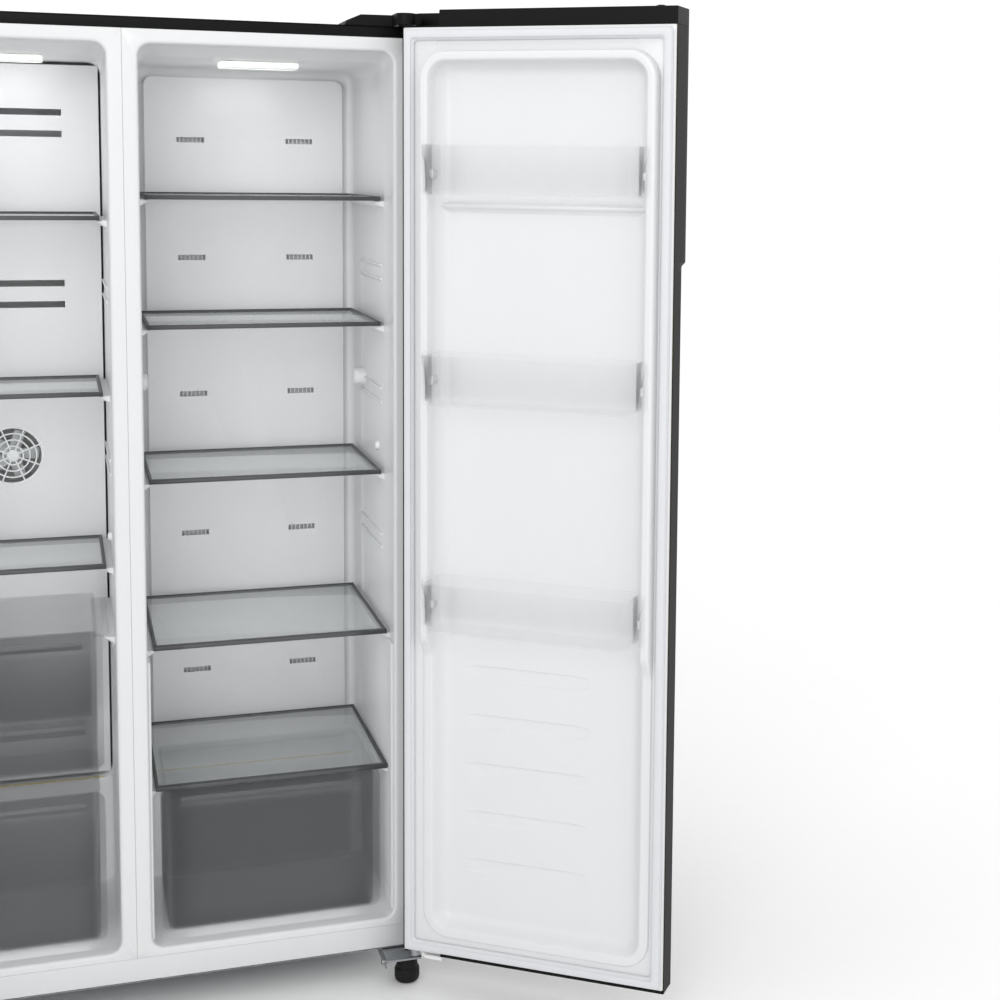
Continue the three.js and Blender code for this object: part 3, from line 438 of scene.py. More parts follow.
def row_of_pads():
    """A row of shallow pads with rounded corners, each raised from the XY plane."""
    if "row_of_pads" in bpy.data.node_groups:
        return bpy.data.node_groups["row_of_pads"]
    tree, given = tree_with("row_of_pads", (
        ("Count", "Int"), ("Pitch", "Vector"), ("Start", "Vector"), ("Width", "Float"),
        ("Height", "Float"), ("Depth", "Float"), ("Corner", "Float"), ("Top", "Float")))
    line = add(tree, "GeometryNodeMeshLine", {"Count": given["Count"], "Offset": given["Pitch"],
                                              "Start Location": given["Start"]})
    quad = add(tree, "GeometryNodeCurvePrimitiveQuadrilateral", {"Width": given["Width"],
                                                                 "Height": given["Height"]})
    corners = add(tree, "GeometryNodeFilletCurve", {"Curve": quad.outputs[0], "Count": 5,
                                                    "Radius": given["Corner"]}, mode="POLY")
    flat = add(tree, "GeometryNodeFillCurve", {"Curve": corners.outputs[0]}, mode="NGONS")
    raised = add(tree, "GeometryNodeExtrudeMesh", {"Mesh": flat.outputs[0],
                                                   "Offset Scale": given["Depth"]}, mode="FACES")
    shrunk = add(tree, "GeometryNodeScaleElements", {"Geometry": raised.outputs["Mesh"],
                                                     "Selection": raised.outputs["Top"],
                                                     "Scale": given["Top"]}, domain="FACE")
    under = add(tree, "GeometryNodeFlipFaces", {"Mesh": flat.outputs[0]})
    both = add(tree, "GeometryNodeJoinGeometry", {0: [shrunk.outputs[0], under.outputs[0]]})
    closed = add(tree, "GeometryNodeMergeByDistance", {"Geometry": both.outputs[0], "Distance": 1e-5})
    spread = add(tree, "GeometryNodeInstanceOnPoints", {"Points": line.outputs[0],
                                                        "Instance": closed.outputs[0]})
    return made_real(tree, spread, given)


def form_on_points():
    """A small form on each point, facing along the point's own direction."""
    if "form_on_points" in bpy.data.node_groups:
        return bpy.data.node_groups["form_on_points"]
    tree, given = tree_with("form_on_points", (("Form", "Object"), ("Size", "Float")))
    facing = add(tree, "GeometryNodeInputNamedAttribute", {"Name": "facing"}, data_type="FLOAT_VECTOR")
    turn = add(tree, "FunctionNodeAlignRotationToVector", {"Vector": facing.outputs[0]}, axis="Z")
    form = add(tree, "GeometryNodeObjectInfo", {"Object": given["Form"]})
    spread = add(tree, "GeometryNodeInstanceOnPoints", {
        "Points": given["Geometry"], "Instance": form.outputs["Geometry"],
        "Rotation": turn.outputs[0], "Scale": given["Size"]})
    return made_real(tree, spread, given)


def grown(tree, mesh, values):
    """What a Geometry Nodes tree makes of a mesh, as a bmesh."""
    obj = bpy.data.objects.new("grown", mesh)
    bpy.context.scene.collection.objects.link(obj)
    modifier = obj.modifiers.new("nodes", "NODES")
    modifier.node_group = tree
    for item in tree.interface.items_tree:
        if item.in_out == "INPUT" and item.name in values:
            modifier[item.identifier] = values[item.name]
    bpy.context.view_layer.update()
    result = bpy.data.meshes.new_from_object(obj.evaluated_get(bpy.context.evaluated_depsgraph_get()))
    obj.modifiers.remove(modifier)
    bm = bmesh.new()
    bm.from_mesh(result)
    bpy.data.objects.remove(obj)
    bpy.data.meshes.remove(result)
    if not bm.faces:
        raise RuntimeError(f"{tree.name} made nothing")
    return bm


def pads(axes, start, pitch, count, width, height, depth, corner, top, finish):
    """Pads in a place's millimetres. axes turns the row's XYZ to the place's."""
    bm = grown(row_of_pads(), bpy.data.meshes.new("start"), {
        "Count": count, "Pitch": tuple(p * MM for p in pitch), "Start": tuple(p * MM for p in start),
        "Width": width * MM, "Height": height * MM, "Depth": depth * MM, "Corner": corner * MM,
        "Top": top, "Finish": finish})
    bm.transform(axes @ Matrix.Scale(1 / MM, 4))
    return bm


def screws(points, size, finish):
    """Cross head screws at (position, direction) pairs in the row frame."""
    steps, slot, narrow, floor = 16, 0.2, 0.35, 0.12
    around = [2 * pi * i / steps for i in range(steps)]
    rings = [[(r * cos(a), r * sin(a), h) for a in around]
             for r, h in ((0.5, -0.1), (0.5, 0.06), (0.44, 0.2), (0.3, 0.3), (0.22, 0.33))]
    rings.append([(slot * cos(a) * (1 if i % 4 < 2 else narrow),
                   slot * sin(a) * (1 if i % 4 < 2 else narrow), floor) for i, a in enumerate(around)])
    head = bmesh.new()
    loft(head, rings)
    return repeated(head, points, size, finish)


def repeated(form, points, size, finish):
    """One form at each of the (position, direction) pairs."""
    mesh = bpy.data.meshes.new("form")
    form.to_mesh(mesh)
    form.free()
    pattern = bpy.data.objects.new("form", mesh)
    bpy.context.scene.collection.objects.link(pattern)
    cloud = bpy.data.meshes.new("points")
    cloud.from_pydata([tuple(p) for p, _ in points], [], [])
    facing = cloud.attributes.new("facing", "FLOAT_VECTOR", "POINT")
    facing.data.foreach_set("vector", [value for _, d in points for value in d])
    bm = grown(form_on_points(), cloud, {"Form": pattern, "Size": size, "Finish": finish})
    bpy.data.objects.remove(pattern)
    return bm


def carved(bm, tool):
    """A closed form with another one taken out of it."""
    objects = []
    for part in (bm, tool):
        bmesh.ops.recalc_face_normals(part, faces=part.faces)
        mesh = bpy.data.meshes.new("carved")
        part.to_mesh(mesh)
        part.free()
        objects.append(bpy.data.objects.new("carved", mesh))
        bpy.context.scene.collection.objects.link(objects[-1])
    body, cutter = objects
    modifier = body.modifiers.new("carve", "BOOLEAN")
    modifier.object = cutter
    modifier.solver = "EXACT"
    bpy.context.view_layer.update()
    result = bpy.data.meshes.new_from_object(body.evaluated_get(bpy.context.evaluated_depsgraph_get()))
    if len(result.polygons) <= len(body.data.polygons):
        raise RuntimeError("nothing was carved")
    body.modifiers.remove(modifier)
    out = bmesh.new()
    out.from_mesh(result)
    for obj in objects:
        bpy.data.objects.remove(obj)
    bpy.data.meshes.remove(result)
    return out


# Turns a row drawn in XY with its depth in Z to face the cabinet's front, and its back
TO_FRONT = Matrix(((1, 0, 0, 0), (0, 0, -1, 0), (0, 1, 0, 0), (0, 0, 0, 1)))
TO_BACK = Matrix(((1, 0, 0, 0), (0, 0, 1, 0), (0, 1, 0, 0), (0, 0, 0, 1)))


# ---------- what a user may change ----------

class FridgeSizes(bpy.types.PropertyGroup):
    """Sizes of the details, in metres"""
    opening_round: FloatProperty(name="Opening edge", description="Rounding of each compartment's mouth",
                                 default=0.006, min=0.001, max=0.02, unit="LENGTH")
    corner_round: FloatProperty(name="Opening corner", description="Radius of the compartments' corners",
                                default=0.022, min=0.01, max=0.05, unit="LENGTH")
    sheet_bend: FloatProperty(name="Sheet bend", description="Outer radius of the bent steel sheets",
                              default=0.004, min=0.001, max=0.01, unit="LENGTH")
    bin_wall: FloatProperty(name="Bin wall", description="Wall thickness of the door bins",
                            default=0.0026, min=0.001, max=0.005, unit="LENGTH")
    band_depth: FloatProperty(name="Band depth", description="Depth of the bands pressed in a door panel",
                              default=0.0019, min=0.0005, max=0.002, unit="LENGTH")
    band_count: IntProperty(name="Bands", description="Pressed bands low on each door panel",
                            default=5, min=1, max=5)
    screw_size: FloatProperty(name="Screw head", description="Width of the screw heads",
                              default=0.008, min=0.004, max=0.014, unit="LENGTH")


def colour_property(name, description, text):
    return FloatVectorProperty(name=name, description=description, default=srgb(text), size=3,
                               min=0.0, max=1.0, subtype="COLOR")


class FridgeColours(bpy.types.PropertyGroup):
    """Colours of the finishes"""
    liner: colour_property("Liner", "Formed liners of cabinet and doors", "#dfe0e1")
    steel: colour_property("Steel", "Outer sheets and door fronts", "#0c0c0d")
    black_plastic: colour_property("Black plastic", "Door caps, strips and hinge covers", "#0b0b0c")
    white_plastic: colour_property("White plastic", "Door stops, fan grille and duct slats", "#eceded")
    shelf_trim: colour_property("Shelf trim", "Edges of the glass shelves", "#3c3d3f")
    glass: colour_property("Glass", "Tint of the shelf glass", "#cfd4d4")
    clear: colour_property("Clear plastic", "Tint of bins and drawers", "#eceff2")
    gasket: colour_property("Gasket", "Door seals", "#d9dadd")
    zinc: colour_property("Bare metal", "Plated and galvanised steel", "#a4a7aa")


# ---------- the pieces ----------

class FRIDGE_OT_shell(bpy.types.Operator):
    """Outer wrapper, front strips, base, back panel and their screws"""
    bl_idname = "fridge.shell"
    bl_label = "Outer shell"

    def execute(self, context):
        look = finishes()
        bend = context.scene.fridge_sizes.sheet_bend / MM
        low, high = CABINET.span("outer_wrapper")
        outer = fillet([(low.x, low.z), (low.x, high.z), (high.x, high.z), (high.x, low.z)], bend)
        inner = shifted(outer, -SHEET, closed=False)
        bm = bmesh.new()
        prism(bm, outer + inner[::-1], "y", low.y, high.y)
        make("wrapper", bm, CABINET, "cabinet", look["steel"], ["outer_wrapper"])
        for node, slot, finish in (("top_front_trim", "black_plastic", "black"),
                                   ("bottom_front_rail", "white_steel", "white_steel")):
            bm = copy_of(node, CABINET)
            soften(bm, 1.2, 3)
            make(node + "_piece", bm, CABINET, "cabinet", look[finish], [node])
        for node in ("base_plate", "back_panel", "machine_cover"):
            paint(node, look["galvanised"])
        low, high = CABINET.span("back_panel")
        bm = pads(TO_BACK, ((low.x + high.x) / 2 - 300, (low.z + high.z) / 2, high.y - 0.4), (200, 0, 0), 4,
                  120, high.z - low.z - 240, 3.2, 20, 0.96, look["galvanised"])
        make("back_panel_swages", bm, CABINET, "cabinet", look["galvanised"])
        backwards, up_each_side, along_each_end = (0, 1, 0), 9, 5
        spots = []
        for i in range(up_each_side):
            z = low.z + 25 + i * (high.z - low.z - 50) / (up_each_side - 1)
            spots += [(low.x + 10, high.y, z), (high.x - 10, high.y, z)]
        for i in range(along_each_end):
            x = low.x + 60 + i * (high.x - low.x - 120) / (along_each_end - 1)
            spots += [(x, high.y, high.z - 10), (x, high.y, low.z - 14)]
        points = [(CABINET.matrix @ Vector(spot), backwards) for spot in spots]
        bm = screws(points, context.scene.fridge_sizes.screw_size, look["zinc"])
        make("back_screws", bm, ROW, "cabinet", look["zinc"])
        return {"FINISHED"}


def paint(node, finish):
    """Gives a CAD node a finished material."""
    slots = NODES[node].material_slots
    for slot in slots:
        slot.material = finish
    if not slots:
        NODES[node].data.materials.append(finish)


def ledge(bm, wall, sign, y0, y1, z, reach, height):
    """A moulded ledge on a side wall, with a rounded nose and a tapered front end."""
    rings = []
    for y, share in ((y0, 0.35), (y0 + 3, 0.75), (y0 + 9, 1.0), (y1 - 4, 1.0), (y1, 0.8)):
        profile = [(-1.5, z), (reach * share, z), (reach * share, z - 0.4 * height),
                   (0.55 * reach * share, z - height), (-1.5, z - 1.5 * height)]
        profile = fillet(profile, 2.2, closed=True, steps=3)
        rings.append([(wall + sign * a, y, b) for a, b in profile])
    loft(bm, rings)


class FRIDGE_OT_compartments(bpy.types.Operator):
    """Formed liners of both compartments, with flanges, ledges, bosses and plugs"""
    bl_idname = "fridge.compartments"
    bl_label = "Compartments"

    def execute(self, context):
        sizes = context.scene.fridge_sizes
        finish = finishes()["liner"]
        for side, sign in SIDES.items():
            self.tub(side, sign, sizes, finish)
        return {"FINISHED"}

    def tub(self, side, sign, sizes, finish):
        edge, radius = sizes.opening_round / MM, sizes.corner_round / MM
        shelf_low, shelf_high = CABINET.span(side + "_shelf_1")
        # The wall on the hinge side stands closer to the shelves than the one in the middle
        near, far = 7, 12
        x0, x1 = shelf_low.x - (far if sign > 0 else near), shelf_high.x + (near if sign > 0 else far)
        low, high = CABINET.span(side + "_liner")
        bottom = CABINET.span("crisper_drawer")[0].z - 4
        top, back, roof = high.z - 24.2, high.y - 2, high.z - 40.2
        turn = back - TUB_BACK_ROUND
        # Lines of (depth, height): the floor steps up over the machine space, and the ceiling comes down
        floor = fillet([(edge, bottom), (318, bottom), (352, step_top(side)), (turn, step_top(side))], 16)
        ceiling = fillet([(edge, top), (40, top), (90, roof), (turn, roof)], 60)
        stations = sorted({round(y, 2) for y, _ in floor + ceiling} | {150, 220})
        rings = []
        for y, inset in ((2.6, 0), (0.7, 0), (0.0, 0.7)):
            rings.append([(x, y, z) for x, z in rounded(low.x + inset, high.x - inset, low.z + inset,
                                                        high.z - inset, 1.2)])
        for i in range(7):
            angle = radians(15 * i)
            grow, y = edge * (1 - sin(angle)), edge * (1 - cos(angle))
            rings.append([(x, y, z) for x, z in
                          rounded(x0 - grow, x1 + grow, bottom - grow, top + grow, radius + grow)])
        for y in stations[1:]:
            z0, z1 = between(floor, y), between(ceiling, y)
            rings.append([(x, y, z) for x, z in rounded(x0, x1, z0, z1, radius)])
        for i in range(1, 6):
            angle = radians(18 * i)
            inset, y = TUB_BACK_ROUND * (1 - cos(angle)), turn + TUB_BACK_ROUND * sin(angle)
            z0, z1 = floor[-1][1] + inset, ceiling[-1][1] - inset
            rings.append([(x, y, z) for x, z in
                          rounded(x0 + inset, x1 - inset, z0, z1, max(radius - inset, 8))])
        bm = bmesh.new()
        loft(bm, rings, start=False)
        bmesh.ops.recalc_face_normals(bm, faces=bm.faces)
        bmesh.ops.solidify(bm, geom=bm.faces[:], thickness=TUB_WALL)
        shelves = [f"{side}_shelf_{i}" for i in range(1, 5) if f"{side}_shelf_{i}" in NODES]
        for wall, inward in ((x0, 1), (x1, -1)):
            for node in shelves:
                a, b = CABINET.span(node)
                ledge(bm, wall, inward, a.y + 8, b.y, a.z - 0.3, LEDGE_REACH, LEDGE_HEIGHT)
                if node.endswith("shelf_3"):
                    turned(bm, [(0.1, -1), (9, -1), (8.5, 3), (6.5, 6), (3, 7), (0.1, 7)],
                           lambda p, q, h: (wall + inward * h, 158 + p, a.z + 44 + q), 20)
                # Two slim spare ledges under each shelf
                for drop in (118, 144):
                    ledge(bm, wall, inward, 120, 335, a.z - drop, 4.5, 5)
            if side == "fridge":
                a, b = CABINET.span("crisper_cover")
                ledge(bm, wall, inward, a.y + 8, 300, a.z - 0.3, LEDGE_REACH, LEDGE_HEIGHT)
                # A round plug
                turned(bm, [(0.1, -1), (17, -1), (16.6, 15), (15.6, 19.5), (12, 22.5), (6, 23.4),
                            (0.1, 23.6)],
                       lambda p, q, h: (wall + inward * h, 309 + p, 1099 + q), 32)
                # The wall stands in a little below the fourth shelf
                inset = sorted((wall - inward, wall + inward * 5))
                block(bm, (inset[0], 9, bottom + 12),
                      (inset[1], 318, CABINET.span(shelves[3])[0].z - 12), 3, 3)
            else:
                drawer_top = CABINET.span("freezer_upper_drawer")[1].z
                ledge(bm, wall, inward, 61, 350, drawer_top - 14, LEDGE_REACH, LEDGE_HEIGHT)
        make(side + "_compartment", bm, CABINET, "cabinet", finish, [side + "_liner"])


def step_top(side):
    """Height of the floor over the machine space, just under the cold air cover."""
    node = "fridge_air_duct" if side == "fridge" else "freezer_air_cover"
    return CABINET.span(node)[0].z - (14 if side == "fridge" else 6)


class FRIDGE_OT_air(bpy.types.Operator):
    """Air duct, freezer cover with its fan grille and slats, and lamp covers"""
    bl_idname = "fridge.air"
    bl_label = "Cold air covers"

    def execute(self, context):
        look = finishes()
        bm = copy_of("fridge_air_duct", CABINET)
        soften(bm, 5.5, 6, 40)
        low, high = CABINET.span("fridge_air_duct")
        for x, out in ((low.x, -1), (high.x, 1)):
            # The duct runs out into the back wall in a hollow curve: (distance out, distance forward)
            flare = [(-1, -0.3), (11, -0.3), (6.5, 0.8), (3.2, 2.8), (1.2, 5.8), (0.2, 10), (-1, 10)]
            prism(bm, [(x + out * a, high.y - b) for a, b in flare], "z", low.z + 14, high.z - 14)
        make("air_duct", bm, CABINET, "cabinet", look["liner"], ["fridge_air_duct"])
        bm = copy_of("freezer_air_cover", CABINET)
        soften(bm, 2.2, 3, 40)
        make("air_cover", bm, CABINET, "cabinet", look["liner"], ["freezer_air_cover"])
        low, high = CABINET.span("freezer_air_cover")
        fan_low, fan_high = CABINET.span("evaporator_fan")
        middle = (fan_low + fan_high) / 2
        bm = bmesh.new()
        for radius in (54, 42, 30, 18):
            section = [(radius + 1.6 * cos(t * pi / 4), 1.6 * sin(t * pi / 4)) for t in range(8)]
            around = [2 * pi * i / 48 for i in range(48)]
            loft(bm, [[(middle.x + r * cos(a), low.y + 1 + h, middle.z + r * sin(a)) for r, h in section]
                      for a in around], loop=True)
        for i in range(4):
            angle = pi * i / 4 + pi / 8
            across, up = cos(angle), sin(angle)
            section = rounded(-1.4, 1.4, -1.2, 1.2, 0.8, 2)
            loft(bm, [[(middle.x + across * d - up * p, low.y + 1 + q, middle.z + up * d + across * p)
                       for p, q in section] for d in (-54, 54)])
        turned(bm, [(0.1, -2.4), (9, -2.2), (11, -1), (11, 1.6), (0.1, 1.6)],
               lambda p, q, h: (middle.x + p, low.y + 1 + h, middle.z + q), 24)
        make("fan_grille", bm, CABINET, "cabinet", look["white"])
        duct_low, duct_high = CABINET.span("fridge_air_duct")
        centre = (duct_low.x + duct_high.x) / 2
        bm = bmesh.new()
        for z in (1560, 1330, 1060, 780, 500):
            for x in (centre - 105, centre + 105):
                add_mesh(bm, pads(TO_FRONT, (x - 20, z, -duct_low.y - 3), (8, 0, 0), 6, 1.2, 10.5, 2.4, 0.3,
                                  0.9, look["white"]))
        make("duct_slats", bm, CABINET, "cabinet", look["white"])
        for side in SIDES:
            node = side + "_lamp_cover"
            bm = copy_of(node, CABINET)
            soften(bm, 4, 4)
            make(node + "_piece", bm, CABINET, "cabinet", look["frosted"], [node])
        return {"FINISHED"}


class FRIDGE_OT_shelves(bpy.types.Operator):
    """Glass shelves with their dark edge trims"""
    bl_idname = "fridge.shelves"
    bl_label = "Shelves"

    def execute(self, context):
        look = finishes()
        for node in sorted(n for n in NODES if "_shelf_" in n) + ["crisper_cover"]:
            low, high = CABINET.span(node)
            z = low.z + GLASS_TOP
            pane = bmesh.new()
            block(pane, (low.x + 1.5, low.y + 3, z - GLASS), (high.x - 1.5, high.y - 3, z), 0.7)
            make(node + "_pane", pane, CABINET, "cabinet", look["glass"], [node])
            bm = bmesh.new()
            front = fillet([(low.y + 1.5, low.z), (low.y, z - 3.5), (low.y + 1.5, z + 0.8),
                            (low.y + 13, z + 0.8), (low.y + 14, z + 0.1), (low.y + 12, low.z + 1)],
                           1.8, True, 3)
            prism(bm, front, "x", low.x, high.x, 2.4, 4)
            rear = fillet([(high.y - 7, z - 4.5), (high.y - 7, z + 1), (high.y - 1.5, z + 1.4),
                           (high.y - 1, z - 4.5)], 1.0, True, 2)
            prism(bm, rear, "x", low.x, high.x, 1.0, 2)
            for x, sign in ((low.x, 1), (high.x, -1)):
                rail = fillet([(x, z - 5.5), (x + sign * 5, z - 5.5), (x + sign * 6.5, z + 0.3),
                               (x + sign * 5, z + 1.2), (x, z + 1.2)], 1.0, True, 2)
                prism(bm, rail, "y", low.y + 6, high.y - 6, 0.5, 1)
            make(node + "_trim", bm, CABINET, "cabinet", look["trim"])
        return {"FINISHED"}


class FRIDGE_OT_drawers(bpy.types.Operator):
    """Clear drawers with framed fronts and grip rails"""
    bl_idname = "fridge.drawers"
    bl_label = "Drawers"

    def execute(self, context):
        finish = finishes()["clear"]
        for node in ("crisper_drawer", "freezer_upper_drawer", "freezer_lower_drawer"):
            low, high = CABINET.span(node)
            wide = node == "freezer_upper_drawer"
            x0, x1 = (low.x + 14, high.x - 14) if wide else (low.x, high.x)
            y0, y1, z0, z1 = low.y + 16, high.y, low.z, high.z
            bm = bmesh.new()
            rings = []
            for z, inset, radius in ((z0, 12, 10), (z0 + 2, 9.5, 13), (z0 + 8, 8.5, 14), (z1 - 8, 7, 15),
                                     (z1 - 4, 6, 15), (z1, 6, 15)):
                rings.append([(x, y, z) for x, y in
                              rounded(x0 + inset + 2, x1 - inset - 2, y0 + 3.5, y1 - inset + 6, radius)])
            for z, inset, radius in ((z1, 8.8, 13), (z1 - 8, 9.4, 12.5), (z0 + 9, 11.2, 11),
                                     (z0 + 3, 14, 9)):
                rings.append([(x, y, z) for x, y in
                              rounded(x0 + inset + 2, x1 - inset - 2, y0 + 6.5, y1 - inset + 6, radius)])
            loft(bm, rings)
            face = []
            for y, inset, radius in ((y0 + 4, 0.8, 16), (y0 + 3, 0, 17), (y0 - 2.4, 0, 17),
                                     (y0 - 4, 1.6, 16), (y0 - 4, 14, 12), (y0 - 2.6, 16, 11),
                                     (y0 - 1.6, 24, 9)):
                top = z1 if inset < 3 else z1 - (inset - 3) - 20
                frame_line = rounded(x0 + inset, x1 - inset, z0 + inset, top - min(inset, 2), radius)
                face.append([(x, y, z) for x, z in frame_line])
            loft(bm, face)
            rail_z = z1 - 16
            rail = fillet([(y0 - 3, rail_z), (y0 - 18, rail_z), (y0 - 19, rail_z - 11),
                           (y0 - 16, rail_z - 11), (y0 - 15, rail_z - 4), (y0 - 3, rail_z - 4)],
                          1.6, True, 3)
            prism(bm, rail, "x", x0 + 34, x1 - 34, 1.0, 2)
            if wide:
                for a, b in ((low.x, x0 + 14), (x1 - 14, high.x)):
                    block(bm, (a, y0 + 12, z1 - 13.5), (b, y1, z1 - 10.5), 1)
            make(node + "_piece", bm, CABINET, node, finish, [node])
        return {"FINISHED"}


class FRIDGE_OT_hinges(bpy.types.Operator):
    """Hinge covers, brackets, washers and their screws"""
    bl_idname = "fridge.hinges"
    bl_label = "Hinges"

    def execute(self, context):
        look = finishes()
        heads = []
        for side, sign in SIDES.items():
            node = side + "_hinge_cover"
            high = CABINET.span(node)[1]
            bm = copy_of(node, CABINET)
            soften(bm, 2.4, 4, 30)
            make(node + "_piece", bm, CABINET, "cabinet", look["black"], [node])
            heads.append((CABINET.matrix @ Vector((sign * 400, 55, high.z - 0.3)), (0, 0, 1)))
            paint(side + "_top_hinge", look["zinc"])
            bm = copy_of(side + "_bottom_hinge", CABINET)
            soften(bm, 0.7, 2, 40)
            for x in (397, 436):
                turned(bm, [(0.1, 0), (7, 0), (6, 3), (3.5, 4), (0.1, 4)],
                       lambda p, q, h: (sign * x + p, 44 + q, 55.2 - h), 20)
            turned(bm, [(0.1, 0), (5.5, 0), (5.2, 2.4), (3, 3.2), (0.1, 3.4)],
                   lambda p, q, h: (sign * (385.3 - h), -24 + p, 45 + q), 20)
            make(side + "_lower_hinge", bm, CABINET, "cabinet", look["zinc"],
                 [side + "_bottom_hinge"])
        bm = screws(heads, 0.007, look["zinc"])
        make("hinge_cover_screws", bm, ROW, "cabinet", look["zinc"])
        return {"FINISHED"}


class FRIDGE_OT_feet(bpy.types.Operator):
    """Levelling feet and rear rollers"""
    bl_idname = "fridge.feet"
    bl_label = "Feet and rollers"

    def execute(self, context):
        finish = finishes()["nylon"]
        for side in SIDES:
            low, high = CABINET.span(side + "_foot")
            x, y = (low.x + high.x) / 2, (low.y + high.y) / 2
            profile = [(0.1, 0), (15, 0), (19, 1.5), (21.8, 4.5), (23, 9), (23, 24), (22, 26.5), (20, 28),
                       (19.6, 33), (18.6, 42), (17, 45), (12, 46), (5, 46), (5, 57.4), (4.4, 58), (0.1, 58)]
            steps = 72
            rings = []
            for radius, z in profile:
                ring = []
                for i in range(steps):
                    notch = 0.9 if 7 < z < 25 and i % 3 == 0 else 0
                    angle = 2 * pi * i / steps
                    ring.append((x + (radius - notch) * cos(angle), y + (radius - notch) * sin(angle), z))
                rings.append(ring)
            bm = bmesh.new()
            loft(bm, rings)
            make(side + "_foot_piece", bm, CABINET, side + "_foot", finish,
                 [side + "_foot"])
            low, high = CABINET.span(side + "_rear_roller")
            x, y, z = (low + high) / 2
            half = [(22, 8.5), (20, 11), (16.5, 11), (15, 8), (9, 8), (8, 11), (4, 11.5), (4, 19.4),
                    (3.6, 20), (0.1, 20)]
            profile = [(radius, -along) for radius, along in reversed(half)] + half
            bm = bmesh.new()
            turned(bm, profile, lambda p, q, h: (x + h, y + p, z + q), 40)
            make(side + "_roller_piece", bm, CABINET, side + "_rear_roller", finish,
                 [side + "_rear_roller"])
        return {"FINISHED"}


def door_outline(width, scoop):
    """The door's plan from its hinge side round its front to its free side. scoop is 1 with the grip."""
    plain = [(0, -0.3), (0, -20), (0, -64), (0.5, -67), (2.2, -69.3), (6, -70), (width / 2, -70),
             (width - 34, -70)]
    full = [(-30, -70), (-24, -70), (-18, -70), (-12, -70), (-6, -70), (-2.2, -69.3), (-0.5, -67),
            (0, -64), (0, -54), (0, -42)]
    cut = [(-30, -70), (-29.3, -67), (-28.4, -62.5), (-26.5, -58.5), (-22.5, -54.5), (-17.5, -50),
           (-12.5, -46.2), (-8, -43.8), (-4, -42.6), (0, -42)]
    for (a0, b0), (a1, b1) in zip(full, cut):
        plain.append((width + a0 + (a1 - a0) * scoop, b0 + (b1 - b0) * scoop))
    return plain + [(width, -20), (width, -0.3)]


def stacked(bm, outline, levels):
    """An outline raised through (height, inset) levels."""
    loft(bm, [[(u, v, z) for u, v in shifted(outline, inset)] for z, inset in levels])


class FRIDGE_OT_door_shells(bpy.types.Operator):
    """Bent steel door fronts with their grips, end caps, plugs and stops"""
    bl_idname = "fridge.door_shells"
    bl_label = "Door shells"

    def execute(self, context):
        look = finishes()
        for side in SIDES:
            place, body = DOORS[side], side + "_door"
            low, high = place.span(side + "_door_skin")
            cap_high = place.span(side + "_door_top_cap")[1]
            foot_low = place.span(side + "_door_bottom_cap")[0]
            width = high.x
            # The grip scoop ends in a step a quarter of the way down
            rings = []
            for z, scoop in ((low.z, 1), (1340, 1), (1343.5, 0.98), (1355.5, 0.03), (1358, 0), (high.z, 0)):
                outer = door_outline(width, scoop)
                inner = shifted(outer, SHEET, closed=False)
                rings.append([(u, v, z) for u, v in outer + inner[::-1]])
            bm = bmesh.new()
            loft(bm, rings)
            make(side + "_door_front", bm, place, body, look["steel"], [side + "_door_skin"],
                 smooth=50)

            top = cap_high.z - 4
            bm = bmesh.new()
            # Full height, with a thin lip in front of the hinge pocket, and the pocket's low floor
            main = [(70, -0.3), (70, -35), (70, -61), (35, -61), (0, -61)] + door_outline(width, 0)[2:]
            pocket = [(0, -0.3), (0, -30), (0, -61.4), (70.4, -61.4), (70.4, -0.3)]
            z0 = low.z + CAP_FROM
            for outline, z1, edge in ((main, top, 1.6), (pocket, POCKET_FLOOR, 0.5)):
                stacked(bm, outline, ((z0, 0.4), (z0 + 0.4, 0), (z1 - edge, 0),
                                      (z1 - 0.3 * edge, 0.3 * edge), (z1, edge)))
            plug = (cap_high.x - 39, -31)
            turned(bm, [(0.1, -2), (9, -2), (9, 1.6), (8, 3.2), (5.5, 4), (0.1, 4)],
                   lambda p, q, h: (plug[0] + p, plug[1] + q, top + h), 24)
            turned(bm, [(5.4, -1), (9.5, -1), (9.5, 1.2), (8.8, 1.8), (5.4, 1.8)],
                   lambda p, q, h: (PIVOT_IN + p, q - PIVOT_FORWARD, POCKET_FLOOR + h), 28)
            make(side + "_door_top", bm, place, body, look["black"],
                 [side + "_door_top_cap"])

            bm = bmesh.new()
            outline = door_outline(width, 1)[1:] + [(74, -0.3), (74, -14), (0, -14)]
            z0, z1 = foot_low.z, low.z - 0.3
            stacked(bm, outline, ((z0, 1.2), (z0 + 0.4, 0.4), (z0 + 1.2, 0), (z1 - 0.4, 0), (z1, 0.4)))
            make(side + "_door_foot", bm, place, body, look["black"],
                 [side + "_door_bottom_cap"])

            bm = copy_of(side + "_door_stop", place)
            soften(bm, 1.4, 3)
            # A filler plate closes the notch between the stop and the door's inside
            under = place.span(side + "_door_liner")[0].z
            block(bm, (1, -13.6, under - 1.6), (73.4, -0.8, under - 0.2), 0.4, 1)
            make(side + "_door_stop_piece", bm, place, body, look["white"],
                 [side + "_door_stop"])
            paint(side + "_door_foam", look["foam"])
        return {"FINISHED"}


# The arch that each door dyke follows, and the panel inside it
DYKE_IN_HINGE, DYKE_IN_FREE = 41, 28   # from the door's hinge side and from its free side
DYKE_BOTTOM, DYKE_TOP = 113, 1714
DYKE_CORNER = 50
DYKE_LOW = 4                           # height of the dyke below the bins
RISE_FROM, RISE = 636, 44              # where it grows to its full height
PANEL = -20                            # the panel, behind the sealing plane
BIN_PARTS = (1, 2, 3)

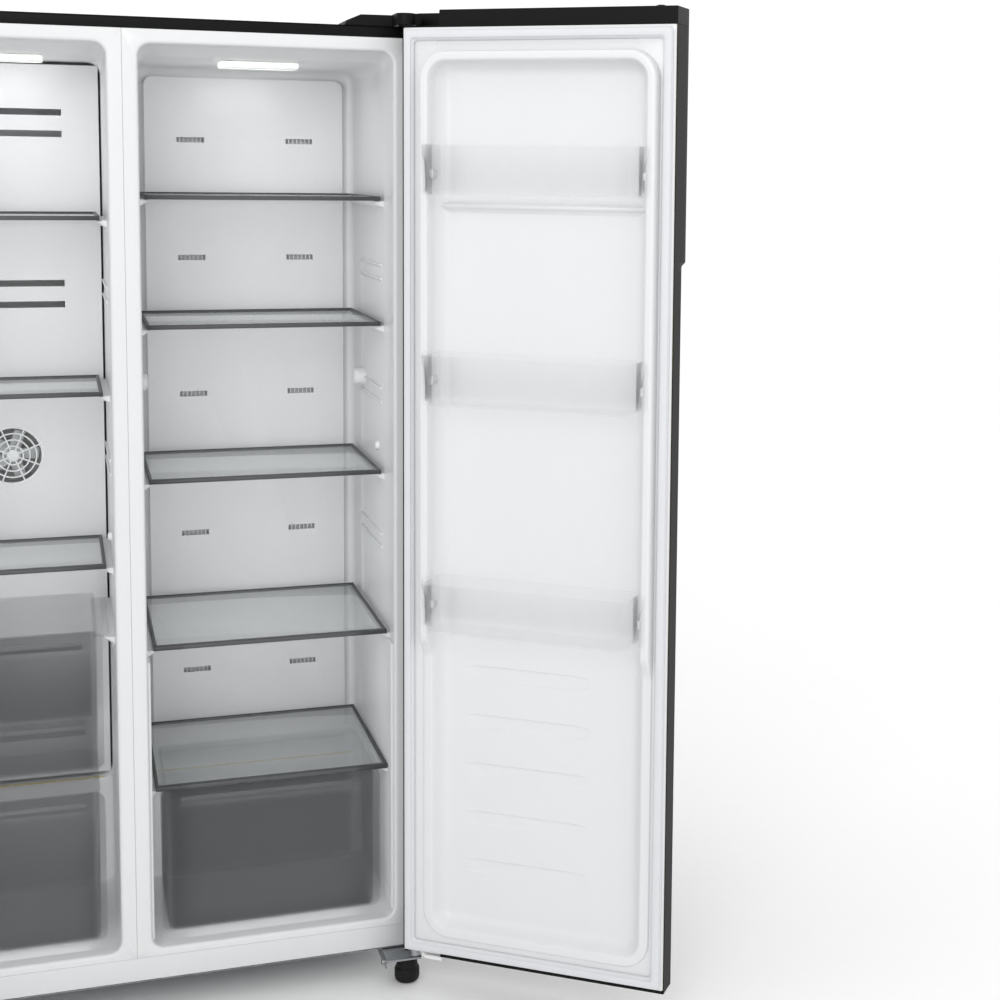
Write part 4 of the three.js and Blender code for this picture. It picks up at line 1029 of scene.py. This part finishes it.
# Outer side of a door dyke: (distance inwards, share of its height)
DYKE_OUT = [(-2, 0.0), (-0.6, 0.02), (0.2, 0.12), (0.8, 0.35), (1.3, 0.65), (1.9, 0.86), (3.0, 0.96),
            (4.8, 0.995), (7.0, 1.0)]
# Inner side: (distance inwards, share of its height, share of the panel's depth)
DYKE_IN = [(13.0, 1.0, 0.0), (15.0, 0.985, 0.0), (16.6, 0.93, 0.0), (18.0, 0.8, 0.0), (19.2, 0.5, 0.01),
           (20.2, 0.2, 0.03), (21.5, 0.04, 0.09), (23.0, 0.0, 0.19), (25.0, 0.0, 0.36), (28.0, 0.0, 0.58),
           (32.0, 0.0, 0.8), (37.0, 0.0, 0.95), (42.0, 0.0, 1.0), (46.0, 0.0, 1.0)]


class FRIDGE_OT_door_liners(bpy.types.Operator):
    """Formed door liners with dykes, ledges, ribs, a top groove and bin lugs"""
    bl_idname = "fridge.door_liners"
    bl_label = "Door liners"

    def execute(self, context):
        sizes = context.scene.fridge_sizes
        finish = finishes()["liner"]
        for side in SIDES:
            place = DOORS[side]
            low, high = place.span(side + "_door_liner")
            width = high.x + 2
            u0, u1 = DYKE_IN_HINGE, width - DYKE_IN_FREE
            z0, z1 = DYKE_BOTTOM, DYKE_TOP
            corner, panel = DYKE_CORNER, PANEL
            tall = high.y
            # Heights of the points up each side, closer together where the dyke rises
            sides = [z0 + corner + (z1 - z0 - 2 * corner) * i / 40 for i in range(1, 40)]
            sides = sorted([z for z in sides if not 612 < z < 700] + [612 + 5.5 * i for i in range(17)])

            def ring(inset, radius, height):
                """One line of the form, at an inset from the arch, with its height by place."""
                a0, a1, b0, b1 = u0 + inset, u1 - inset, z0 + inset, z1 - inset
                points = []
                arc = 9
                for a, b, start in ((a1 - radius, b0 + radius, -90), (a1 - radius, b1 - radius, 0),
                                    (a0 + radius, b1 - radius, 90), (a0 + radius, b0 + radius, 180)):
                    for i in range(arc + 1):
                        angle = radians(start + 90 * i / arc)
                        points.append((a + radius * cos(angle), b + radius * sin(angle)))
                    if start == -90:
                        points += [(a1, z) for z in sides]
                    if start == 90:
                        points += [(a0, z) for z in reversed(sides)]
                return [(u, height(z), z) for u, z in points]

            def crest(z):
                return DYKE_LOW + (tall - DYKE_LOW) * smooth_step((z - RISE_FROM) / RISE)

            def flat(u_in, radius, v):
                """The border's own edge, with as many points as the other lines."""
                a0, a1, b0, b1 = low.x + u_in, high.x - u_in, low.z + u_in, high.z - u_in
                share = (b1 - b0 - 2 * radius) / (z1 - z0 - 2 * corner)
                lines = []
                for u, _, z in ring(0, corner, lambda z: 0.0):
                    near_u = a0 + radius if u < (u0 + u1) / 2 else a1 - radius
                    edge_u = u0 + corner if u < (u0 + u1) / 2 else u1 - corner
                    z_new = b0 + radius + (min(max(z, z0 + corner), z1 - corner) - z0 - corner) * share
                    du, dz = u - edge_u, z - min(max(z, z0 + corner), z1 - corner)
                    lines.append((near_u + du * radius / corner, v, z_new + dz * radius / corner))
                return lines

            rings = [flat(0, 3, -1.2), flat(0, 3, -0.5), flat(0.6, 3, 0)]
            rings += [ring(d, corner - d, lambda z, s=s: s * crest(z)) for d, s in DYKE_OUT]
            rings += [ring(d, corner - d, lambda z, c=c, r=r: c * crest(z) + r * panel)
                      for d, c, r in DYKE_IN]
            bm = bmesh.new()
            loft(bm, rings, start=False)
            bmesh.ops.recalc_face_normals(bm, faces=bm.faces)
            bmesh.ops.solidify(bm, geom=bm.faces[:], thickness=DOOR_WALL)
            tool = self.bands(104, u1 - 110, panel, sizes, finish)
            # A level groove across the top of the border
            block(tool, (64, -1.1, 1724), (width - 67, 6, 1739), 0)
            bm = carved(bm, tool)

            # Ledge under the upper bin, and its two lugs with those of the other bins
            bins = [place.span(f"{side}_door_bin_{i}")[0].z for i in BIN_PARTS]
            shelf_z = bins[0] - 14
            profile = fillet([(panel - 1, shelf_z + 5), (panel + 4, shelf_z + 1), (panel + 9, shelf_z - 1),
                              (panel + 9, shelf_z - 6), (panel + 3, shelf_z - 10),
                              (panel - 1, shelf_z - 18)], 4, False, 4)
            prism(bm, profile, "x", u0 + 20, u1 - 20, 0.4, 1)
            for z in bins:
                for a, b in ((u0 + 17, u0 + 24.5), (u1 - 24.5, u1 - 17)):
                    block(bm, (a, -6, z + 30), (b, 16, z + 45), 2.4, 3)
            liner = make(side + "_door_inner", bm, place, side + "_door", finish,
                         [side + "_door_liner"], smooth=45)
            self.crease(liner.data)
        return {"FINISHED"}

    def bands(self, left, right, panel, sizes, finish):
        """What is pressed out of the panel: shallow bands that fade out at both ends."""
        half, depth, fade = (right - left) / 2, sizes.band_depth / MM, 40
        first, pitch, proud = 609.5, 90.1, 0.25
        # Half a band's width, and the share of its depth there
        section = [(-13.6, -proud), (-12.4, 0.5), (-11.0, 0.92), (-8.0, 1.0), (8.0, 1.0), (11.0, 0.92),
                   (12.4, 0.5), (13.6, -proud)]
        form = bmesh.new()
        rings = []
        for i in range(33):
            u = half * (i / 16 - 1)
            share = smooth_step((half - abs(u)) / fade)
            sunk = [(u, -depth * (share * (h + proud) - proud), z * (0.7 + 0.3 * share))
                    for z, h in section]
            rings.append(sunk + [(u, 5.0, 13.6), (u, 5.0, -13.6)])
        loft(form, rings)
        form.transform(Matrix.Rotation(radians(90), 4, "X"))
        middle = (left + right) / 2
        rows = [((middle, panel, first - pitch * i), (0, 1, 0)) for i in range(sizes.band_count)]
        return repeated(form, rows, 1.0, finish)

    def crease(self, mesh):
        """Keeps the flat panels flat where a pressed edge meets them."""
        broad, bend = 2e-3, radians(4)   # square metres of a flat panel's face, and the least angle
        meeting = {}
        for face in mesh.polygons:
            for key in face.edge_keys:
                meeting.setdefault(key, []).append(face)
        sharp = mesh.attributes.get("sharp_edge") or mesh.attributes.new("sharp_edge", "BOOLEAN", "EDGE")
        for i, edge in enumerate(mesh.edges):
            faces = meeting.get(edge.key, [])
            if len(faces) == 2 and max(f.area for f in faces) > broad:
                if faces[0].normal.angle(faces[1].normal) > bend:
                    sharp.data[i].value = True


# Section of the gasket: (distance inwards, height), once round
SEAL = [(1.0, 0.3), (0.2, 2.0), (0.0, 4.0), (0.6, 6.0), (2.2, 7.4), (2.6, 8.2), (1.2, 9.2), (1.4, 10.6),
        (2.8, 11.4), (12.2, 11.4), (13.6, 10.6), (13.8, 9.2), (13.0, 8.2), (15.0, 7.0), (17.0, 5.0),
        (18.0, 2.6), (17.2, 0.3)]


class FRIDGE_OT_gaskets(bpy.types.Operator):
    """Folded magnetic door gaskets"""
    bl_idname = "fridge.gaskets"
    bl_label = "Gaskets"

    def execute(self, context):
        finish = finishes()["gasket"]
        for side in SIDES:
            place = DOORS[side]
            low, high = place.span(side + "_door_gasket")
            bm = bmesh.new()
            rings = []
            for inset, v in SEAL:
                rings.append([(u, v, z) for u, z in rounded(low.x + inset, high.x - inset, low.z + inset,
                                                            high.z - inset, 6, 4)])
            loft(bm, rings, loop=True)
            make(side + "_door_seal", bm, place, side + "_door", finish,
                 [side + "_door_gasket"])
        return {"FINISHED"}


class FRIDGE_OT_bins(bpy.types.Operator):
    """Clear door bins with lips, a step in the front and hooks over the dykes"""
    bl_idname = "fridge.bins"
    bl_label = "Door bins"

    def execute(self, context):
        wall = context.scene.fridge_sizes.bin_wall / MM
        finish = finishes()["clear"]
        for side in SIDES:
            place = DOORS[side]
            for number in BIN_PARTS:
                node = f"{side}_door_bin_{number}"
                low, high = place.span(node)
                self.bin(node, place, side + "_door", low, high, wall, finish)
        return {"FINISHED"}

    def bin(self, node, place, body, low, high, wall, finish):
        u0, u1, v0, v1, z0, z1 = low.x + 7, high.x - 7, low.y, high.y, low.z, high.z

        def plan(inset):
            corners = [(u0 + inset, v0 + inset), (u1 - inset, v0 + inset), (u1 - inset, 40),
                       (u1 - 1.5 - inset, v1 - inset), (u0 + 1.5 + inset, v1 - inset), (u0 + inset, 40)]
            return fillet(corners, 6.5, True, 5)

        outside = [(z0, 7), (z0 + 1, 4.2), (z0 + 3.4, 2.4), (z0 + 7, 1.8), (z0 + 41, 1.5), (z0 + 42.5, 0.6),
                   (z1 - 5.5, 0.2), (z1 - 4.6, -0.9), (z1 - 0.8, -0.9), (z1, -0.2)]
        inside = [(z1, wall - 0.4), (z1 - 0.8, wall), (z0 + 42, wall + 0.7), (z0 + 40, wall + 1.5),
                  (z0 + 8, wall + 2), (z0 + 4.5, wall + 3.6), (z0 + 3.2, wall + 7)]
        bm = bmesh.new()
        loft(bm, [[(u, v, z) for u, v in plan(inset)] for z, inset in outside + inside])
        # The hooks' flanges at both ends, the one at the hinge side a little wider
        for edge, out, reach in ((u0, -1, 20), (u1, 1, 19)):
            a, b = edge - out * 1.0, edge + out * reach
            outline = (fillet([(a, z0 + 2), (b, z0 + 2), (b, z0 + 60)], 20, False, 7)
                       + fillet([(b, z0 + 60), (b, z1 + 2.5), (a, z1 + 2.5)], 7, False, 5)[1:])
            prism(bm, outline, "y", 26.2, 28.8, 0.7, 2)
            # A stiffening rib that steps in below the top of the hook
            line = fillet([(b - out * 4, z1 - 2), (b - out * 4, z1 - 17), (b - out * 10, z1 - 32),
                           (b - out * 11.5, z0 + 16), (b - out * 9, z0 + 7)], 6, False, 4)
            prism(bm, line + shifted(line, 1.6, False)[::-1], "y", 28.4, 32.5, 0.4, 1)
        make(node + "_piece", bm, place, body, finish, [node])


class FRIDGE_OT_machine(bpy.types.Operator):
    """Finishes of the foam and the cooling parts, and the mains inlet with its pins"""
    bl_idname = "fridge.machine"
    bl_label = "Cooling parts"

    def execute(self, context):
        look = finishes()
        for node, finish in (("cabinet_foam", "foam"), ("compressor", "enamel"), ("condenser", "copper"),
                             ("drain_pan", "nylon"), ("evaporator", "aluminium"),
                             ("evaporator_fan", "white")):
            paint(node, look[finish])
        bm = copy_of("mains_inlet", CABINET)
        soften(bm, 1.2, 2, 40)
        make("mains_inlet_body", bm, CABINET, "cabinet", look["black"], ["mains_inlet"])
        low, high = CABINET.span("mains_inlet")
        middle = (low + high) / 2
        bm = bmesh.new()
        for x, z in ((-7, -2), (0, 2.5), (7, -2)):
            block(bm, (middle.x + x - 1, high.y - 20, middle.z + z - 2.4),
                  (middle.x + x + 1, high.y - 5, middle.z + z + 2.4), 0.5, 2)
        make("mains_inlet_pins", bm, CABINET, "cabinet", look["brass"])
        return {"FINISHED"}


class FRIDGE_OT_stage(bpy.types.Operator):
    """Pale floor, soft studio lights and the camera"""
    bl_idname = "fridge.stage"
    bl_label = "Stage"

    def execute(self, context):
        scene = context.scene
        # Seamless paper sweep: white, matt, a faint fibre grain
        material = shade("studio_paper", srgb("#fcfcfc"), srgb("#fafafa"), 900, 40, 0.02, 0.8, 0.1, IOR=1.3)
        mesh = bpy.data.meshes.new("studio_floor")
        reach = 30.0   # metres, past what the camera sees
        corners = [(-reach, -reach, 0), (reach, -reach, 0), (reach, reach, 0), (-reach, reach, 0)]
        mesh.from_pydata(corners, [], [(0, 1, 2, 3)])
        mesh.transform(Matrix.Translation((0, 0, CAD_BOX[0].z - 0.0005)))
        mesh.materials.append(material)
        floor = bpy.data.objects.new("studio_floor", mesh)
        scene.collection.objects.link(floor)

        world = bpy.data.worlds.new("studio")
        scene.world = world
        world.use_nodes = True
        world.node_tree.nodes.clear()
        sky = add(world.node_tree, "ShaderNodeBackground",
                  {"Color": (*srgb("#ffffff"), 1), "Strength": 1.05})
        add(world.node_tree, "ShaderNodeOutputWorld", {"Surface": sky.outputs[0]})
        # Name, place, aim, width, height, power in watts and spread in degrees
        lights = [("key", (-1.3, -3.6, 2.8), (0.45, -0.1, 1.75), 1.6, 1.6, 8.5, 80),
                  ("fill", (3.2, -3.2, 2.4), (0.1, 0.0, 0.9), 2.4, 2.4, 3.0, 180)]
        for side in SIDES:
            low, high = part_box(side + "_shelf_1")
            x, lamp = (low.x + high.x) / 2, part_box(side + "_lamp_cover")[0]
            # Soft boxes that face into each open compartment, and the glow of its lamp
            lights += [(side + "_glow", (x, CABINET.matrix.translation.y + 0.03, 0.85), (x, 9.0, 0.85),
                        0.75 * (high.x - low.x), 1.5, 0.65, 180),
                       (side + "_lamp", (x, lamp.y + 0.03, lamp.z - 0.01), (x, lamp.y + 0.25, lamp.z - 0.2),
                        0.16, 0.08, 0.22, 180)]
        for name, spot, aim, wide, tall, power, spread in lights:
            data = bpy.data.lights.new(name, "AREA")
            data.shape = "RECTANGLE"
            data.size, data.size_y = wide, tall
            data.energy = power
            data.spread = radians(spread)
            light = bpy.data.objects.new(name, data)
            light.location = spot
            light.rotation_mode = "QUATERNION"
            light.rotation_quaternion = (Vector(aim) - Vector(spot)).to_track_quat("-Z", "Y")
            scene.collection.objects.link(light)

        data = bpy.data.cameras.new("camera")
        data.lens = 60.8
        data.shift_x, data.shift_y = -0.14, -0.16
        data.clip_start, data.clip_end = 0.05, 200.0
        camera = bpy.data.objects.new("camera", data)
        place = (-0.2041, -3.1051, 1.5141)
        # Turned right of straight at the cabinet, down, and about its own axis
        yaw, pitch, roll = radians(19.17), radians(5.77), radians(-0.75)
        ahead = Vector((sin(yaw) * cos(pitch), cos(yaw) * cos(pitch), -sin(pitch)))
        right = Vector((cos(yaw), -sin(yaw), 0))
        down = ahead.cross(right)
        across = right * cos(roll) + down * sin(roll)
        lower = down * cos(roll) - right * sin(roll)
        camera.matrix_world = Matrix((
            (across.x, -lower.x, -ahead.x, place[0]),
            (across.y, -lower.y, -ahead.y, place[1]),
            (across.z, -lower.z, -ahead.z, place[2]),
            (0, 0, 0, 1)))
        scene.collection.objects.link(camera)
        scene.camera = camera
        scene.view_settings.view_transform = "Standard"
        return {"FINISHED"}


STEPS = (FRIDGE_OT_shell, FRIDGE_OT_compartments, FRIDGE_OT_air, FRIDGE_OT_shelves, FRIDGE_OT_drawers,
         FRIDGE_OT_hinges, FRIDGE_OT_feet, FRIDGE_OT_door_shells, FRIDGE_OT_door_liners, FRIDGE_OT_gaskets,
         FRIDGE_OT_bins, FRIDGE_OT_machine, FRIDGE_OT_stage)


class FRIDGE_PT_panel(bpy.types.Panel):
    """Lists what the refrigerator is made of"""
    bl_idname = "FRIDGE_PT_panel"
    bl_label = "Side by side refrigerator"
    bl_space_type = "VIEW_3D"
    bl_region_type = "UI"
    bl_category = "Fridge"

    def draw(self, context):
        for group in (context.scene.fridge_sizes, context.scene.fridge_colours):
            for name in group.bl_rna.properties.keys():
                if name not in ("rna_type", "name"):
                    self.layout.prop(group, name)
        for step in STEPS:
            self.layout.operator(step.bl_idname)


CLASSES = (FridgeSizes, FridgeColours, *STEPS, FRIDGE_PT_panel)


def register():
    for item in CLASSES:
        bpy.utils.register_class(item)
    bpy.types.Scene.fridge_sizes = PointerProperty(type=FridgeSizes)
    bpy.types.Scene.fridge_colours = PointerProperty(type=FridgeColours)


def unregister():
    del bpy.types.Scene.fridge_colours
    del bpy.types.Scene.fridge_sizes
    for item in reversed(CLASSES):
        bpy.utils.unregister_class(item)


def main():
    register()
    for step in STEPS:
        group, name = step.bl_idname.split(".")
        getattr(getattr(bpy.ops, group), name)()
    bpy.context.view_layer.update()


if __name__ == "__main__":
    main()
